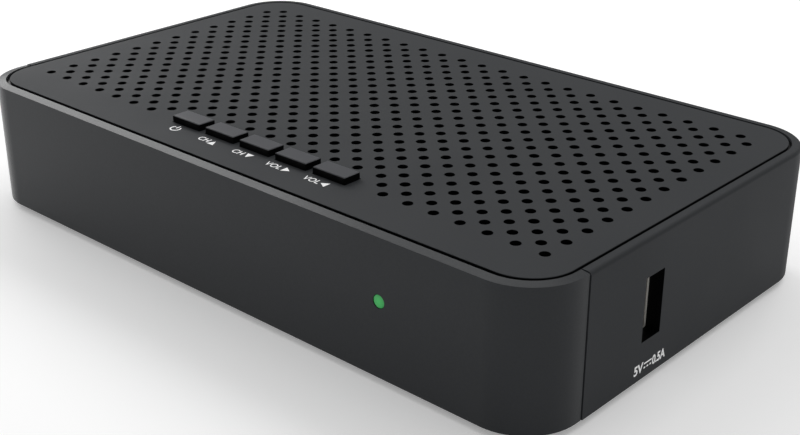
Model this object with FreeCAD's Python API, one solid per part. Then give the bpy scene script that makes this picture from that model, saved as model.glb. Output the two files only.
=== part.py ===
import FreeCAD, Part
import math
import os

# Compact satellite television receiver: a plastic case of four mouldings around one circuit board, with
# five keys on the lid, a data port on the right side and the sockets on the rear. Millimetres.
# Frame: +X right, +Y to the rear, +Z up, origin under the middle of the outline on the plane of the feet.

# ---- case ----
WIDTH = 170.0
DEPTH = 100.0            # front face to rear face, without the sockets
HEIGHT = 30.0            # bottom edge of the walls to the lid's surface
FOOT_STAND = 1.6         # the feet hold the case this far off the table
SOCKET_REACH = 10.0      # the aerial socket stands this far out of the rear face
CORNER_R = 12.5
WALL = 2.1
EDGE_R = 0.9             # softened top edge of the rear casing
SEAM_SETBACK = 13.8      # front face to the seam between bezel and rear casing
SEAM_GAP = 0.2
SEAM_TONGUE = (1.2, 2.0, 6.0)    # thickness, reach past the seam, length behind it
BEZEL_INSET = 0.2        # the bezel's sides stand this far inside the casing's
BEZEL_FALL = 0.3         # its rim falls this much towards the outside
FIT_GAP = 0.1            # clearance between mouldings

# ---- lid ----
LID_THICK = 1.8
GROOVE_WIDTH = 0.85
GROOVE_DEPTH = 0.8
LEDGE_WIDTH = 2.5
LEDGE_THICK = 1.5
VENT_PITCH_X = 6.5
VENT_PITCH_Y = 6.47
VENT_DIAMETER = 2.0
VENT_COLUMNS = 24
VENT_ROWS = 12
VENT_FIRST_Y = 14.35         # first row of vents, behind the front face
VENT_SIDES = 4               # each round vent is a square prism of the same area
KEYS_SKIP_FRONT = 7          # columns left out each side of the keys in the first row
HOOK_WIDTH = 6.0
HOOK_THICK = 1.2
HOOK_DROP = 2.8
HOOK_BARB = 0.9
HOOK_X = 45.0            # hooks on the long sides, left and right of the middle

# ---- keys ----
KEY_NAMES = ["power", "channel_up", "channel_down", "volume_up", "volume_down"]
KEY_PITCH = 11.0
KEYS_ASIDE = 0.7         # the middle of the row is this far right of the lid's middle
KEY_SETBACK = 14.7       # front face to the middle of the keys
KEY_WIDTH = 9.0
KEY_LENGTH = 4.4
KEY_PROUD = 1.5          # height above the lid
KEY_GAP = 0.15
KEY_EDGE = 0.2
KEY_FLANGE = 0.8         # the flange under the lid that keeps the key in
KEY_FLANGE_THICK = 1.1
KEY_STEM = 2.4
KEY_STEM_DROP = 1.2
KEY_WALL = 1.0
KEY_ROOF = 1.5           # thickness over the hollows inside the key
KEY_TRAVEL = 0.5
SWITCH_SIZE = 6.0
SWITCH_HEIGHT = 3.5
PLUNGER_D = 3.5
PLUNGER_PROUD = 0.7
KEY_BOARD_THICK = 1.2
KEY_BOARD_WIDTH = 67.0
KEY_BOARD_FRONT = 5.0    # board edge in front of the keys
KEY_BOARD_BACK = 7.0
PLUNGER_DEPTH = 1.4      # how far the plunger reaches into its switch

# ---- screws, as (head diameter, head height, shank diameter) ----
CASE_SCREW = (5.4, 1.8, 2.8)
BOARD_SCREW = (5.0, 1.6, 2.3)
KEY_SCREW = (4.2, 1.4, 1.9)
SHANK_GAP = 0.05         # radial gap between shank and pilot hole
SHANK_CLEAR = 0.4        # clearance hole over the shank diameter
HEAD_CLEAR = 0.6         # recess over the head diameter
PILOT_SPARE = 1.0        # pilot hole past the screw's end
SCREW_SHORT = 0.4        # board and key screws stop this far before the end of their pilots
BOSS_D = 7.0
BOSS_X = 74.0
BOSS_SETBACK = 10.5      # front or rear face to the boss axis
BOSS_RIB = 1.5
CASE_SCREW_REACH = 9.4   # shank length inside the boss
KEY_BOSS_D = 5.0
KEY_BOSS_X = 30.5        # from the middle of the row of keys
KEY_SCREW_LENGTH = 5.0

# ---- base tray ----
TRAY_FLOOR = 2.0
TRAY_LIP = 3.0
TRAY_LIP_THICK = 1.5
PILLAR_D = 8.0
PILLAR_HEIGHT = 5.0
PILLAR_SEAT = 2.8        # depth of the recess for the screw head
STANDOFF_D = 6.0
STANDOFF_HEIGHT = 4.4
FOOT_D = 10.0
FOOT_POCKET = 0.8
FOOT_X = 60.0
FOOT_INSET = 12.0        # front or rear face to the foot's middle
FOOT_EDGE = 0.4
TRAY_SLOTS = 16
TRAY_SLOT = (2.0, 26.0)
TRAY_SLOT_PITCH = 5.0

# ---- main board ----
BOARD_THICK = 1.6
BOARD_HALF_WIDTH = 79.0
BOARD_EDGE_GAP = (6.0, 4.5)     # to the front face and to the rear face
BOARD_NOTCH_X = 69.5
BOARD_NOTCH_DEPTH = (9.0, 11.0)  # corner notches at the front and at the rear
BOARD_HOLE_D = 3.0
BOARD_SCREWS = [(-72.0, -34.0), (72.0, -34.0), (-33.0, 24.0), (72.0, 22.0)]

# ---- rear sockets ----
AERIAL_X = -53.0
AXIS_RISE = 7.0          # height of the aerial and audio axes above the board
THREAD_D = 9.5
THREAD_LENGTH = 7.2
NECK_D = 8.8             # inside the nut the thread is drawn at its root
AERIAL_HOLE_D = 10.2
AERIAL_BORE_D = 6.4
AERIAL_BORE_DEPTH = 8.0
AERIAL_CORE_INSET = 0.4  # insulator behind the thread's end
AERIAL_PIN_HOLE_D = 1.2
AERIAL_FLANGE = (13.0, 1.5)
NUT_ACROSS = 11.0
NUT_THICK = 2.2
WASHER = (13.0, 0.6, 9.8)        # outside, thickness, hole
WALL_HOLE_GAP = 0.25     # round each socket in the rear wall
BLOCK_GAP = 0.5          # rear wall to the sockets' blocks
SOCKET_INSET = 0.5       # the video socket's mouth behind the rear face
TUNER_SIZE = (32.0, 36.5, 14.0)
TUNER_WALL = 0.5
AUDIO_X = -26.0
AUDIO_RING_D = 8.3
AUDIO_RING_WALL = 0.5
AUDIO_REACH = 9.0
AUDIO_CORE_INSET = 0.6   # plastic core behind the ring's end
AUDIO_COLLAR_REACH = 0.2
AUDIO_COLLAR_D = 8.7
AUDIO_HOLE_D = 3.3
AUDIO_HOLE_DEPTH = 10.0
AUDIO_BLOCK = (10.0, 9.4, 12.5)
AV_X = -3.0
AV_BLOCK = (8.0, 12.5, 7.0)
AV_BORE_D = 3.6
AV_BORE_DEPTH = 14.0
AV_NOSE_D = 6.0
AV_NOSE_INSET = 0.4
VIDEO_X = 22.0
VIDEO_MOUTH = (14.0, 4.6)
VIDEO_CHAMFER = 1.1
VIDEO_WALL = 0.4
VIDEO_LENGTH = 11.2
VIDEO_TONGUE = (11.2, 7.6, 1.0)
VIDEO_TAB = (3.2, 2.0)    # feet on the board: place behind the shell's back edge, width
VIDEO_TIP_INSET = 1.6    # tongue's tip behind the mouth
VIDEO_RISE = 3.3
DC_X = 62.0
DC_BLOCK = (9.0, 13.8, 11.0)
DC_BORE_D = 6.4
DC_BORE_DEPTH = 9.5
DC_PIN_D = 2.0
DC_PIN_LENGTH = 8.7
DC_RISE = 6.4
DC_HOLE_D = 7.4

# ---- data port on the right side ----
USB_SETBACK = 35.4       # front face to the middle of the port
USB_SLOT = (6.2, 13.6)   # opening in the casing, along Y and Z
USB_DROP = 15.0          # lid surface to the middle of the port
USB_CHIMNEY = 1.2
USB_RECESS = 4.2         # outer face to the front of the metal shell
USB_SHELL = (14.0, 5.7, 13.1)
USB_SHELL_WALL = 0.3
USB_FOOT = 2.0
USB_TONGUE = (9.0, 1.8, 11.1)
USB_TONGUE_SHIFT = 1.0
USB_TIP_INSET = 1.0      # tongue's tip behind the shell's front
USB_CONTACT = (7.0, 0.2, 1.0)
USB_CONTACT_Z = [-3.5, -1.0, 1.0, 3.5]

# ---- front light and remote-control eye ----
LED_X = 47.9
LED_DROP = 13.55         # lid surface to the light
PIPE_D = 2.8
PIPE_LENGTH = 4.6
PIPE_COLLAR = (4.2, 1.0)
LED_D = 3.0
LED_LENGTH = 3.3
LED_LEAD = 0.5
LED_LEAD_PITCH = 2.54
HOLDER = (5.0, 4.0)
EYE_X = 60.0
EYE_BODY = (6.0, 4.0, 7.0)
EYE_LENS_R = 2.3
EYE_RISE = 3.0

# ---- parts on the main board, as (x, y, along x, along y, height) ----
PROCESSOR = (8.0, -8.0, 21.0, 21.0, 1.4)
MEMORY_CHIPS = [(-17.0, -18.0, 9.0, 13.5, 1.1), (-17.0, 1.0, 9.0, 13.5, 1.1)]
STORAGE_CHIP = (-34.0, -12.0, 12.0, 18.0, 1.0)
CRYSTAL = (-27.0, 12.0, 11.0, 4.6, 3.5)
COILS = [(46.0, -6.0, 7.3, 7.3, 4.0), (56.0, 6.0, 7.3, 7.3, 4.0), (-52.0, -14.0, 7.3, 7.3, 4.0)]
COIL_CHAMFER = 1.2
CAPACITORS = [(46.0, 22.0, 8.0, 11.5), (46.0, 11.0, 8.0, 11.5), (36.0, 5.0, 6.3, 9.0),
              (-66.0, -10.0, 6.3, 9.0), (-60.0, -24.0, 6.3, 9.0)]
SINK = (30.0, 30.0, 2.0)
FIN = (1.2, 6.0)
FIN_COUNT = 8
HEADER = (10.0, 3.0)
HEADER_X = 17.0
MAIN_HEADER_Y = -26.0
MAIN_HEADER_HEIGHT = 5.0
KEY_HEADER_HEIGHT = 4.0
CABLE = (8.0, 0.8)
CABLE_BEND = 3.0

# ---- places worked out from the sizes above ----
X_SIDE = WIDTH / 2
Y_FRONT = -(DEPTH + SOCKET_REACH) / 2
Y_REAR = Y_FRONT + DEPTH
Z_BOTTOM = FOOT_STAND
Z_TOP = Z_BOTTOM + HEIGHT
Y_SEAM = Y_FRONT + SEAM_SETBACK
INNER_R = CORNER_R - WALL
Z_SHELF = Z_TOP - LID_THICK
Z_TRAY = Z_BOTTOM + TRAY_FLOOR
Z_BOSS = Z_BOTTOM + PILLAR_HEIGHT
Z_BOARD = Z_TRAY + STANDOFF_HEIGHT
Z_PARTS = Z_BOARD + BOARD_THICK
Y_KEYS = Y_FRONT + KEY_SETBACK
Z_FLANGE = Z_SHELF - FIT_GAP - KEY_FLANGE_THICK
Z_PLUNGER = Z_FLANGE - KEY_STEM_DROP
Z_SWITCH = Z_PLUNGER - PLUNGER_PROUD
Z_KEY_BOARD = Z_SWITCH - SWITCH_HEIGHT
Y_WALL = Y_REAR - WALL
Z_AXIS = Z_PARTS + AXIS_RISE
BOSS_Y = [Y_FRONT + BOSS_SETBACK, Y_REAR - BOSS_SETBACK]
X_USB = X_SIDE - USB_RECESS
Y_USB = Y_FRONT + USB_SETBACK
Z_USB = Z_TOP - USB_DROP
Z_LED = Z_TOP - LED_DROP


# ---- plain shapes ----
def block(x0, y0, z0, x1, y1, z1):
    return Part.makeBox(x1 - x0, y1 - y0, z1 - z0, FreeCAD.Vector(x0, y0, z0))


def centred(x, y, z0, size_x, size_y, height):
    return block(x - size_x / 2, y - size_y / 2, z0, x + size_x / 2, y + size_y / 2, z0 + height)


def post(x, y, z0, z1, diameter):
    """Round post along +Z."""
    return Part.makeCylinder(diameter / 2, z1 - z0, FreeCAD.Vector(x, y, z0))


def rod(x, z, y0, y1, diameter):
    """Round rod along +Y."""
    return Part.makeCylinder(diameter / 2, y1 - y0, FreeCAD.Vector(x, y0, z), FreeCAD.Vector(0, 1, 0))


def prism(points, direction):
    face = Part.Face(Part.makePolygon([FreeCAD.Vector(*p) for p in points + points[:1]]))
    return face.extrude(FreeCAD.Vector(*direction))


def joined(shapes):
    return shapes[0].multiFuse(shapes[1:]).removeSplitter()


def outline(inset, radius, z, side_inset=0.0):
    """The case's outline, a rounded rectangle, taken in on all sides and a little more on the two ends."""
    x = X_SIDE - inset - side_inset
    y0 = Y_FRONT + inset
    y1 = Y_REAR - inset
    half = radius * math.sqrt(0.5)
    edges = []
    corners = [(x, y1, 1, 1), (-x, y1, -1, 1), (-x, y0, -1, -1), (x, y0, 1, -1)]
    arcs = []
    for cx, cy, sx, sy in corners:
        mx = cx - sx * radius
        my = cy - sy * radius
        ends = [FreeCAD.Vector(cx, my, z), FreeCAD.Vector(mx, cy, z)]
        if sx * sy < 0:
            ends.reverse()
        arcs.append((ends[0], FreeCAD.Vector(mx + sx * half, my + sy * half, z), ends[1]))
    for number, (start, middle, end) in enumerate(arcs):
        edges.append(Part.Arc(start, middle, end).toShape())
        edges.append(Part.makeLine(end, arcs[(number + 1) % len(arcs)][0]))
    return Part.Wire(edges)


def slab(inset, radius, z0, z1, side_inset=0.0):
    return Part.Face(outline(inset, radius, z0, side_inset)).extrude(FreeCAD.Vector(0, 0, z1 - z0))


def behind_seam(shape):
    return shape.common(block(-WIDTH, Y_SEAM + SEAM_GAP, -HEIGHT, WIDTH, DEPTH, 2 * HEIGHT))


def before_seam(shape):
    return shape.common(block(-WIDTH, -DEPTH, -HEIGHT, WIDTH, Y_SEAM, 2 * HEIGHT))


# ---- case mouldings ----
def lid_ledge():
    """The shelf that runs round inside the walls and carries the lid."""
    outer = slab(WALL - FIT_GAP, INNER_R, Z_SHELF - LEDGE_THICK, Z_SHELF)
    return outer.cut(slab(WALL + LEDGE_WIDTH, INNER_R - LEDGE_WIDTH, Z_SHELF - LEDGE_THICK, Z_SHELF))


def screw_boss(side, y, towards):
    """Boss for a case screw, held to the side wall and to the front or rear wall by two ribs."""
    x = side * BOSS_X
    z1 = Z_SHELF - LEDGE_THICK
    x_wall = side * (X_SIDE - WALL / 2)
    y_wall = Y_FRONT + WALL / 2 if towards < 0 else Y_REAR - WALL / 2
    z0 = Z_BOSS + 2 * FIT_GAP
    across = block(min(x, x_wall), y - BOSS_RIB / 2, z0, max(x, x_wall), y + BOSS_RIB / 2, z1)
    along = block(x - BOSS_RIB / 2, min(y, y_wall), z0, x + BOSS_RIB / 2, max(y, y_wall), z1)
    pilot = post(x, y, Z_BOSS, Z_BOSS + CASE_SCREW_REACH + PILOT_SPARE, CASE_SCREW[2] + 2 * SHANK_GAP)
    return joined([post(x, y, Z_BOSS, z1, BOSS_D), across, along]).cut(pilot)


def rear_wall_holes():
    """Cut-outs in the rear wall for the five sockets."""
    y0 = Y_WALL - WALL
    y1 = Y_REAR + WALL
    half_x = VIDEO_MOUTH[0] / 2 + VIDEO_WALL + WALL_HOLE_GAP
    half_z = VIDEO_MOUTH[1] / 2 + VIDEO_WALL + WALL_HOLE_GAP
    return [
        rod(AERIAL_X, Z_AXIS, y0, y1, AERIAL_HOLE_D),
        rod(AUDIO_X, Z_AXIS, y0, y1, AUDIO_COLLAR_D + 2 * WALL_HOLE_GAP),
        rod(AV_X, Z_PARTS + AV_BLOCK[2] / 2, y0, y1, AV_NOSE_D + 2 * WALL_HOLE_GAP),
        rod(DC_X, Z_PARTS + DC_RISE, y0, y1, DC_HOLE_D),
        video_profile(half_x, half_z, VIDEO_CHAMFER, y0, y1),
    ]


def usb_chimney():
    """Short tunnel behind the slot in the right side that guides a plug to the metal shell."""
    half_y = USB_SLOT[0] / 2 + USB_CHIMNEY
    half_z = USB_SLOT[1] / 2 + USB_CHIMNEY
    return block(X_USB + FIT_GAP, Y_USB - half_y, Z_USB - half_z,
                 X_SIDE - WALL / 2, Y_USB + half_y, Z_USB + half_z)


def seam_tongue(side):
    """Tongue on the casing that reaches behind the bezel and lines up the two outer faces."""
    thick, reach, root = SEAM_TONGUE
    z0 = Z_BOSS + 2 * FIT_GAP
    z1 = Z_SHELF - LEDGE_THICK
    inner = X_SIDE - WALL - FIT_GAP - thick
    outer = X_SIDE - WALL - FIT_GAP
    deep = X_SIDE - WALL / 2
    front = block(inner, Y_SEAM - reach, z0, outer, Y_SEAM + root, z1)
    back = block(inner, Y_SEAM + SEAM_GAP, z0, deep, Y_SEAM + root, z1)
    tongue = joined([front, back])
    if side < 0:
        tongue = tongue.mirror(FreeCAD.Vector(0, 0, 0), FreeCAD.Vector(1, 0, 0))
    return tongue


def rear_casing():
    outer = slab(0, CORNER_R, Z_BOTTOM, Z_TOP)
    top_edges = [e for e in outer.Edges if e.BoundBox.ZMin > Z_TOP - FIT_GAP]
    outer = outer.makeFillet(EDGE_R, top_edges)
    walls = outer.cut(slab(WALL, INNER_R, Z_BOTTOM, Z_TOP))
    shell = behind_seam(joined([walls, lid_ledge()]))
    bosses = [screw_boss(side, BOSS_Y[1], 1) for side in (-1, 1)]
    shell = joined([shell, usb_chimney(), seam_tongue(1), seam_tongue(-1)] + bosses)
    slot = block(X_USB - WALL, Y_USB - USB_SLOT[0] / 2, Z_USB - USB_SLOT[1] / 2,
                 X_SIDE + WALL, Y_USB + USB_SLOT[0] / 2, Z_USB + USB_SLOT[1] / 2)
    return shell.cut(rear_wall_holes() + [slot])


def front_bezel():
    """Front wall and both front corners in one moulding, with a rim that falls towards the outside."""
    z_edge = Z_TOP - BEZEL_FALL
    outer_r = CORNER_R - BEZEL_INSET
    body = slab(0, outer_r, Z_BOTTOM, z_edge, BEZEL_INSET)
    rim = Part.makeLoft([outline(0, outer_r, z_edge, BEZEL_INSET), outline(WALL, INNER_R, Z_TOP)], True, True)
    walls = body.fuse(rim).cut(slab(WALL, INNER_R, Z_BOTTOM, Z_TOP))
    shell = before_seam(joined([walls, lid_ledge()]))
    bosses = [screw_boss(side, BOSS_Y[0], -1) for side in (-1, 1)]
    light = rod(LED_X, Z_LED, Y_FRONT - WALL, Y_FRONT + 2 * WALL, PIPE_D + FIT_GAP)
    return joined([shell] + bosses).cut(light)


def base_tray():
    """Floor with a locating lip, screw pillars, board standoffs, air slots and pockets for the feet."""
    inset = WALL + FIT_GAP
    radius = INNER_R - FIT_GAP
    floor = slab(inset, radius, Z_BOTTOM, Z_TRAY)
    lip = slab(inset, radius, Z_TRAY, Z_TRAY + TRAY_LIP)
    lip = lip.cut(slab(inset + TRAY_LIP_THICK, radius - TRAY_LIP_THICK, Z_TRAY, Z_TRAY + TRAY_LIP))
    solid = [floor, lip]
    holes = []
    for x in (-BOSS_X, BOSS_X):
        for y in BOSS_Y:
            solid.append(post(x, y, Z_BOTTOM, Z_BOSS, PILLAR_D))
            holes.append(post(x, y, Z_BOTTOM, Z_BOTTOM + PILLAR_SEAT, CASE_SCREW[0] + HEAD_CLEAR))
            holes.append(post(x, y, Z_BOTTOM, Z_BOSS, CASE_SCREW[2] + SHANK_CLEAR))
    for x, y in BOARD_SCREWS:
        solid.append(post(x, y, Z_TRAY, Z_BOARD, STANDOFF_D))
        holes.append(post(x, y, Z_TRAY, Z_BOARD, BOARD_SCREW[2] + 2 * SHANK_GAP))
    for x, y in foot_places():
        holes.append(post(x, y, Z_BOTTOM, Z_BOTTOM + FOOT_POCKET, FOOT_D + 2 * FIT_GAP))
    middle = (TRAY_SLOTS - 1) / 2
    for number in range(TRAY_SLOTS):
        x = (number - middle) * TRAY_SLOT_PITCH
        holes.append(centred(x, Y_FRONT + DEPTH / 2, Z_BOTTOM, TRAY_SLOT[0], TRAY_SLOT[1], TRAY_FLOOR))
    return joined(solid).cut(holes)


def foot_places():
    return [(x, y) for x in (-FOOT_X, FOOT_X) for y in (Y_FRONT + FOOT_INSET, Y_REAR - FOOT_INSET)]


def rubber_feet():
    feet = []
    for x, y in foot_places():
        foot = post(x, y, 0, Z_BOTTOM + FOOT_POCKET, FOOT_D)
        rim = [e for e in foot.Edges if e.BoundBox.ZMax < FIT_GAP]
        feet.append(foot.makeChamfer(FOOT_EDGE, rim))
    return Part.makeCompound(feet)


# ---- lid ----
def vent_places():
    """Vents in staggered rows. The two rows beside the keys stop short of them."""
    places = []
    for row in range(VENT_ROWS):
        for column in range(VENT_COLUMNS):
            if row > 0 or not KEYS_SKIP_FRONT <= column < VENT_COLUMNS - KEYS_SKIP_FRONT:
                places.append((column, row))
        for column in range(VENT_COLUMNS - 1):
            if row > 0 or not KEYS_SKIP_FRONT <= column < VENT_COLUMNS - 1 - KEYS_SKIP_FRONT:
                places.append((column + 0.5, row + 0.5))
    middle = (VENT_COLUMNS - 1) / 2
    return [((c - middle) * VENT_PITCH_X, Y_FRONT + VENT_FIRST_Y + r * VENT_PITCH_Y) for c, r in places]


def vent_wire(x, y, z):
    turn = 2 * math.pi / VENT_SIDES
    radius = VENT_DIAMETER / 2 * math.sqrt(2 * math.pi / (VENT_SIDES * math.sin(turn)))
    points = [FreeCAD.Vector(x + radius * math.cos(n * turn), y + radius * math.sin(n * turn), z)
              for n in range(VENT_SIDES)]
    return Part.makePolygon(points + points[:1])


def perforated_plate():
    """The lid's plate, with every vent and key opening already in its face."""
    openings = [vent_wire(x, y, Z_SHELF) for x, y in vent_places()]
    half_x = KEY_WIDTH / 2 + KEY_GAP
    half_y = KEY_LENGTH / 2 + KEY_GAP
    for x in key_places():
        corners = [(x - half_x, Y_KEYS - half_y), (x + half_x, Y_KEYS - half_y),
                   (x + half_x, Y_KEYS + half_y), (x - half_x, Y_KEYS + half_y)]
        points = [FreeCAD.Vector(cx, cy, Z_SHELF) for cx, cy in corners]
        openings.append(Part.makePolygon(points + points[:1]))
    for wire in openings:
        wire.reverse()
    face = Part.Face([outline(WALL + GROOVE_WIDTH, INNER_R - GROOVE_WIDTH, Z_SHELF)] + openings)
    return face.extrude(FreeCAD.Vector(0, 0, LID_THICK))


def lid_flange():
    """Low rim round the plate that rests on the ledge and makes the floor of the groove."""
    z1 = Z_TOP - GROOVE_DEPTH
    outer = slab(WALL + FIT_GAP, INNER_R - FIT_GAP, Z_SHELF, z1)
    return outer.cut(slab(WALL + GROOVE_WIDTH, INNER_R - GROOVE_WIDTH, Z_SHELF, z1))


def lid_hook(x, y, towards_x, towards_y):
    """Snap hook that reaches down past the ledge and catches under it."""
    z0 = Z_SHELF - HOOK_DROP
    leg = HOOK_THICK / 2
    if towards_x:
        stem = centred(x - towards_x * leg, y, z0, HOOK_THICK, HOOK_WIDTH, HOOK_DROP)
        tip = (towards_x * HOOK_BARB, 0)
        base = [(x, y - HOOK_WIDTH / 2), (x, y + HOOK_WIDTH / 2)]
    else:
        stem = centred(x, y - towards_y * leg, z0, HOOK_WIDTH, HOOK_THICK, HOOK_DROP)
        tip = (0, towards_y * HOOK_BARB)
        base = [(x - HOOK_WIDTH / 2, y), (x + HOOK_WIDTH / 2, y)]
    z1 = Z_SHELF - LEDGE_THICK - FIT_GAP
    (ax, ay), (bx, by) = base
    barb = prism([(ax, ay, z0), (ax, ay, z1), (ax + tip[0], ay + tip[1], z1)], (bx - ax, by - ay, 0))
    return [stem, barb]


def top_plate():
    edge = WALL + LEDGE_WIDTH + FIT_GAP
    hooks = []
    for x in (-HOOK_X, HOOK_X):
        hooks += lid_hook(x, Y_REAR - edge, 0, 1)
        hooks += lid_hook(x, Y_FRONT + edge, 0, -1)
    for side in (-1, 1):
        hooks += lid_hook(side * (X_SIDE - edge), Y_FRONT + DEPTH / 2, side, 0)
    bosses = [post(x, Y_KEYS, Z_KEY_BOARD, Z_SHELF, KEY_BOSS_D) for x in key_boss_places()]
    pilots = [post(x, Y_KEYS, Z_KEY_BOARD, Z_KEY_BOARD + KEY_SCREW_LENGTH, KEY_SCREW[2] + 2 * SHANK_GAP)
              for x in key_boss_places()]
    return perforated_plate().multiFuse([lid_flange()] + hooks + bosses).cut(pilots).removeSplitter()


# ---- keys ----
def key_places():
    middle = (len(KEY_NAMES) - 1) / 2
    return [KEYS_ASIDE + (number - middle) * KEY_PITCH for number in range(len(KEY_NAMES))]


def key_boss_places():
    return [KEYS_ASIDE - KEY_BOSS_X, KEYS_ASIDE + KEY_BOSS_X]


def key_cap(x):
    """Moulded key: a block through the lid, a flange that stops it under the lid and a stem."""
    cap = centred(x, Y_KEYS, Z_FLANGE, KEY_WIDTH, KEY_LENGTH, Z_TOP + KEY_PROUD - Z_FLANGE)
    top_edges = [e for e in cap.Edges if e.BoundBox.ZMin > Z_TOP + KEY_PROUD - KEY_EDGE]
    cap = cap.makeChamfer(KEY_EDGE, top_edges)
    flange = centred(x, Y_KEYS, Z_FLANGE, KEY_WIDTH + 2 * KEY_FLANGE, KEY_LENGTH + 2 * KEY_FLANGE,
                     KEY_FLANGE_THICK)
    stem = centred(x, Y_KEYS, Z_PLUNGER, KEY_STEM, KEY_STEM, KEY_STEM_DROP)
    hollow_x = (KEY_WIDTH - KEY_STEM) / 2 - KEY_WALL
    hollow_height = Z_TOP + KEY_PROUD - KEY_ROOF - Z_FLANGE
    shift = KEY_STEM / 2 + hollow_x / 2
    hollows = [centred(x + side * shift, Y_KEYS, Z_FLANGE, hollow_x, KEY_STEM, hollow_height)
               for side in (-1, 1)]
    return joined([cap, flange, stem]).cut(hollows)


def switch_plunger(x):
    return post(x, Y_KEYS, Z_SWITCH - PLUNGER_DEPTH, Z_PLUNGER, PLUNGER_D)


def tact_switches():
    switches = []
    for x in key_places():
        body = centred(x, Y_KEYS, Z_KEY_BOARD, SWITCH_SIZE, SWITCH_SIZE, SWITCH_HEIGHT)
        z_well = Z_SWITCH - PLUNGER_DEPTH - KEY_TRAVEL - FIT_GAP
        well = post(x, Y_KEYS, z_well, Z_SWITCH, PLUNGER_D + 2 * FIT_GAP)
        switches.append(body.cut(well))
    return Part.makeCompound(switches)


def key_board():
    board = block(KEYS_ASIDE - KEY_BOARD_WIDTH / 2, Y_KEYS - KEY_BOARD_FRONT, Z_KEY_BOARD - KEY_BOARD_THICK,
                  KEYS_ASIDE + KEY_BOARD_WIDTH / 2, Y_KEYS + KEY_BOARD_BACK, Z_KEY_BOARD)
    holes = [post(x, Y_KEYS, Z_KEY_BOARD - KEY_BOARD_THICK, Z_KEY_BOARD, KEY_SCREW[2] + SHANK_CLEAR)
             for x in key_boss_places()]
    return board.cut(holes)


# ---- screws ----
def screw(x, y, z_seat, size, length, up):
    """Pan-head screw seated at z_seat, its shank running up or down from there."""
    head_d, head_height, shank_d = size
    if up:
        head = post(x, y, z_seat - head_height, z_seat, head_d)
        return head.fuse(post(x, y, z_seat, z_seat + length, shank_d))
    head = post(x, y, z_seat, z_seat + head_height, head_d)
    return head.fuse(post(x, y, z_seat - length, z_seat, shank_d))


def case_screws():
    seat = Z_BOTTOM + PILLAR_SEAT
    length = PILLAR_HEIGHT - PILLAR_SEAT + CASE_SCREW_REACH
    places = [(x, y) for x in (-BOSS_X, BOSS_X) for y in BOSS_Y]
    return Part.makeCompound([screw(x, y, seat, CASE_SCREW, length, True) for x, y in places])


def board_screws():
    length = BOARD_THICK + STANDOFF_HEIGHT - SCREW_SHORT
    return Part.makeCompound([screw(x, y, Z_PARTS, BOARD_SCREW, length, False) for x, y in BOARD_SCREWS])


def key_screws():
    seat = Z_KEY_BOARD - KEY_BOARD_THICK
    length = KEY_BOARD_THICK + KEY_SCREW_LENGTH - SCREW_SHORT
    return Part.makeCompound([screw(x, Y_KEYS, seat, KEY_SCREW, length, True)
                              for x in key_boss_places()])


# ---- main board and what it carries ----
def main_board():
    x1 = BOARD_HALF_WIDTH
    x0 = BOARD_NOTCH_X
    front = Y_FRONT + BOARD_EDGE_GAP[0]
    rear = Y_REAR - BOARD_EDGE_GAP[1]
    front_in = front + BOARD_NOTCH_DEPTH[0]
    rear_in = rear - BOARD_NOTCH_DEPTH[1]
    right = [(x0, front), (x0, front_in), (x1, front_in), (x1, rear_in), (x0, rear_in), (x0, rear)]
    left = [(-x, y) for x, y in reversed(right)]
    board = prism([(x, y, Z_BOARD) for x, y in right + left], (0, 0, BOARD_THICK))
    return board.cut([post(x, y, Z_BOARD, Z_PARTS, BOARD_HOLE_D) for x, y in BOARD_SCREWS])


def chip(place):
    x, y, size_x, size_y, height = place
    return centred(x, y, Z_PARTS, size_x, size_y, height)


def coils():
    shapes = []
    for place in COILS:
        coil = chip(place)
        upright = [e for e in coil.Edges if e.BoundBox.ZLength > place[4] / 2]
        shapes.append(coil.makeChamfer(COIL_CHAMFER, upright))
    return Part.makeCompound(shapes)


def capacitors():
    return Part.makeCompound([post(x, y, Z_PARTS, Z_PARTS + height, d) for x, y, d, height in CAPACITORS])


def heat_sink():
    x, y, height = PROCESSOR[0], PROCESSOR[1], PROCESSOR[4]
    z0 = Z_PARTS + height
    base = centred(x, y, z0, SINK[0], SINK[1], SINK[2])
    pitch = (SINK[0] - FIN[0]) / (FIN_COUNT - 1)
    first = x - SINK[0] / 2 + FIN[0] / 2
    fins = [centred(first + n * pitch, y, z0 + SINK[2], FIN[0], SINK[1], FIN[1]) for n in range(FIN_COUNT)]
    return joined([base] + fins)


def cable_headers():
    lower = centred(HEADER_X, MAIN_HEADER_Y, Z_PARTS, HEADER[0], HEADER[1], MAIN_HEADER_HEIGHT)
    upper = centred(HEADER_X, key_header_y(), Z_KEY_BOARD - KEY_BOARD_THICK - KEY_HEADER_HEIGHT,
                    HEADER[0], HEADER[1], KEY_HEADER_HEIGHT)
    return Part.makeCompound([lower, upper])


def key_header_y():
    return Y_KEYS + KEY_BOARD_BACK - HEADER[1] / 2 - 2 * FIT_GAP


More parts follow.
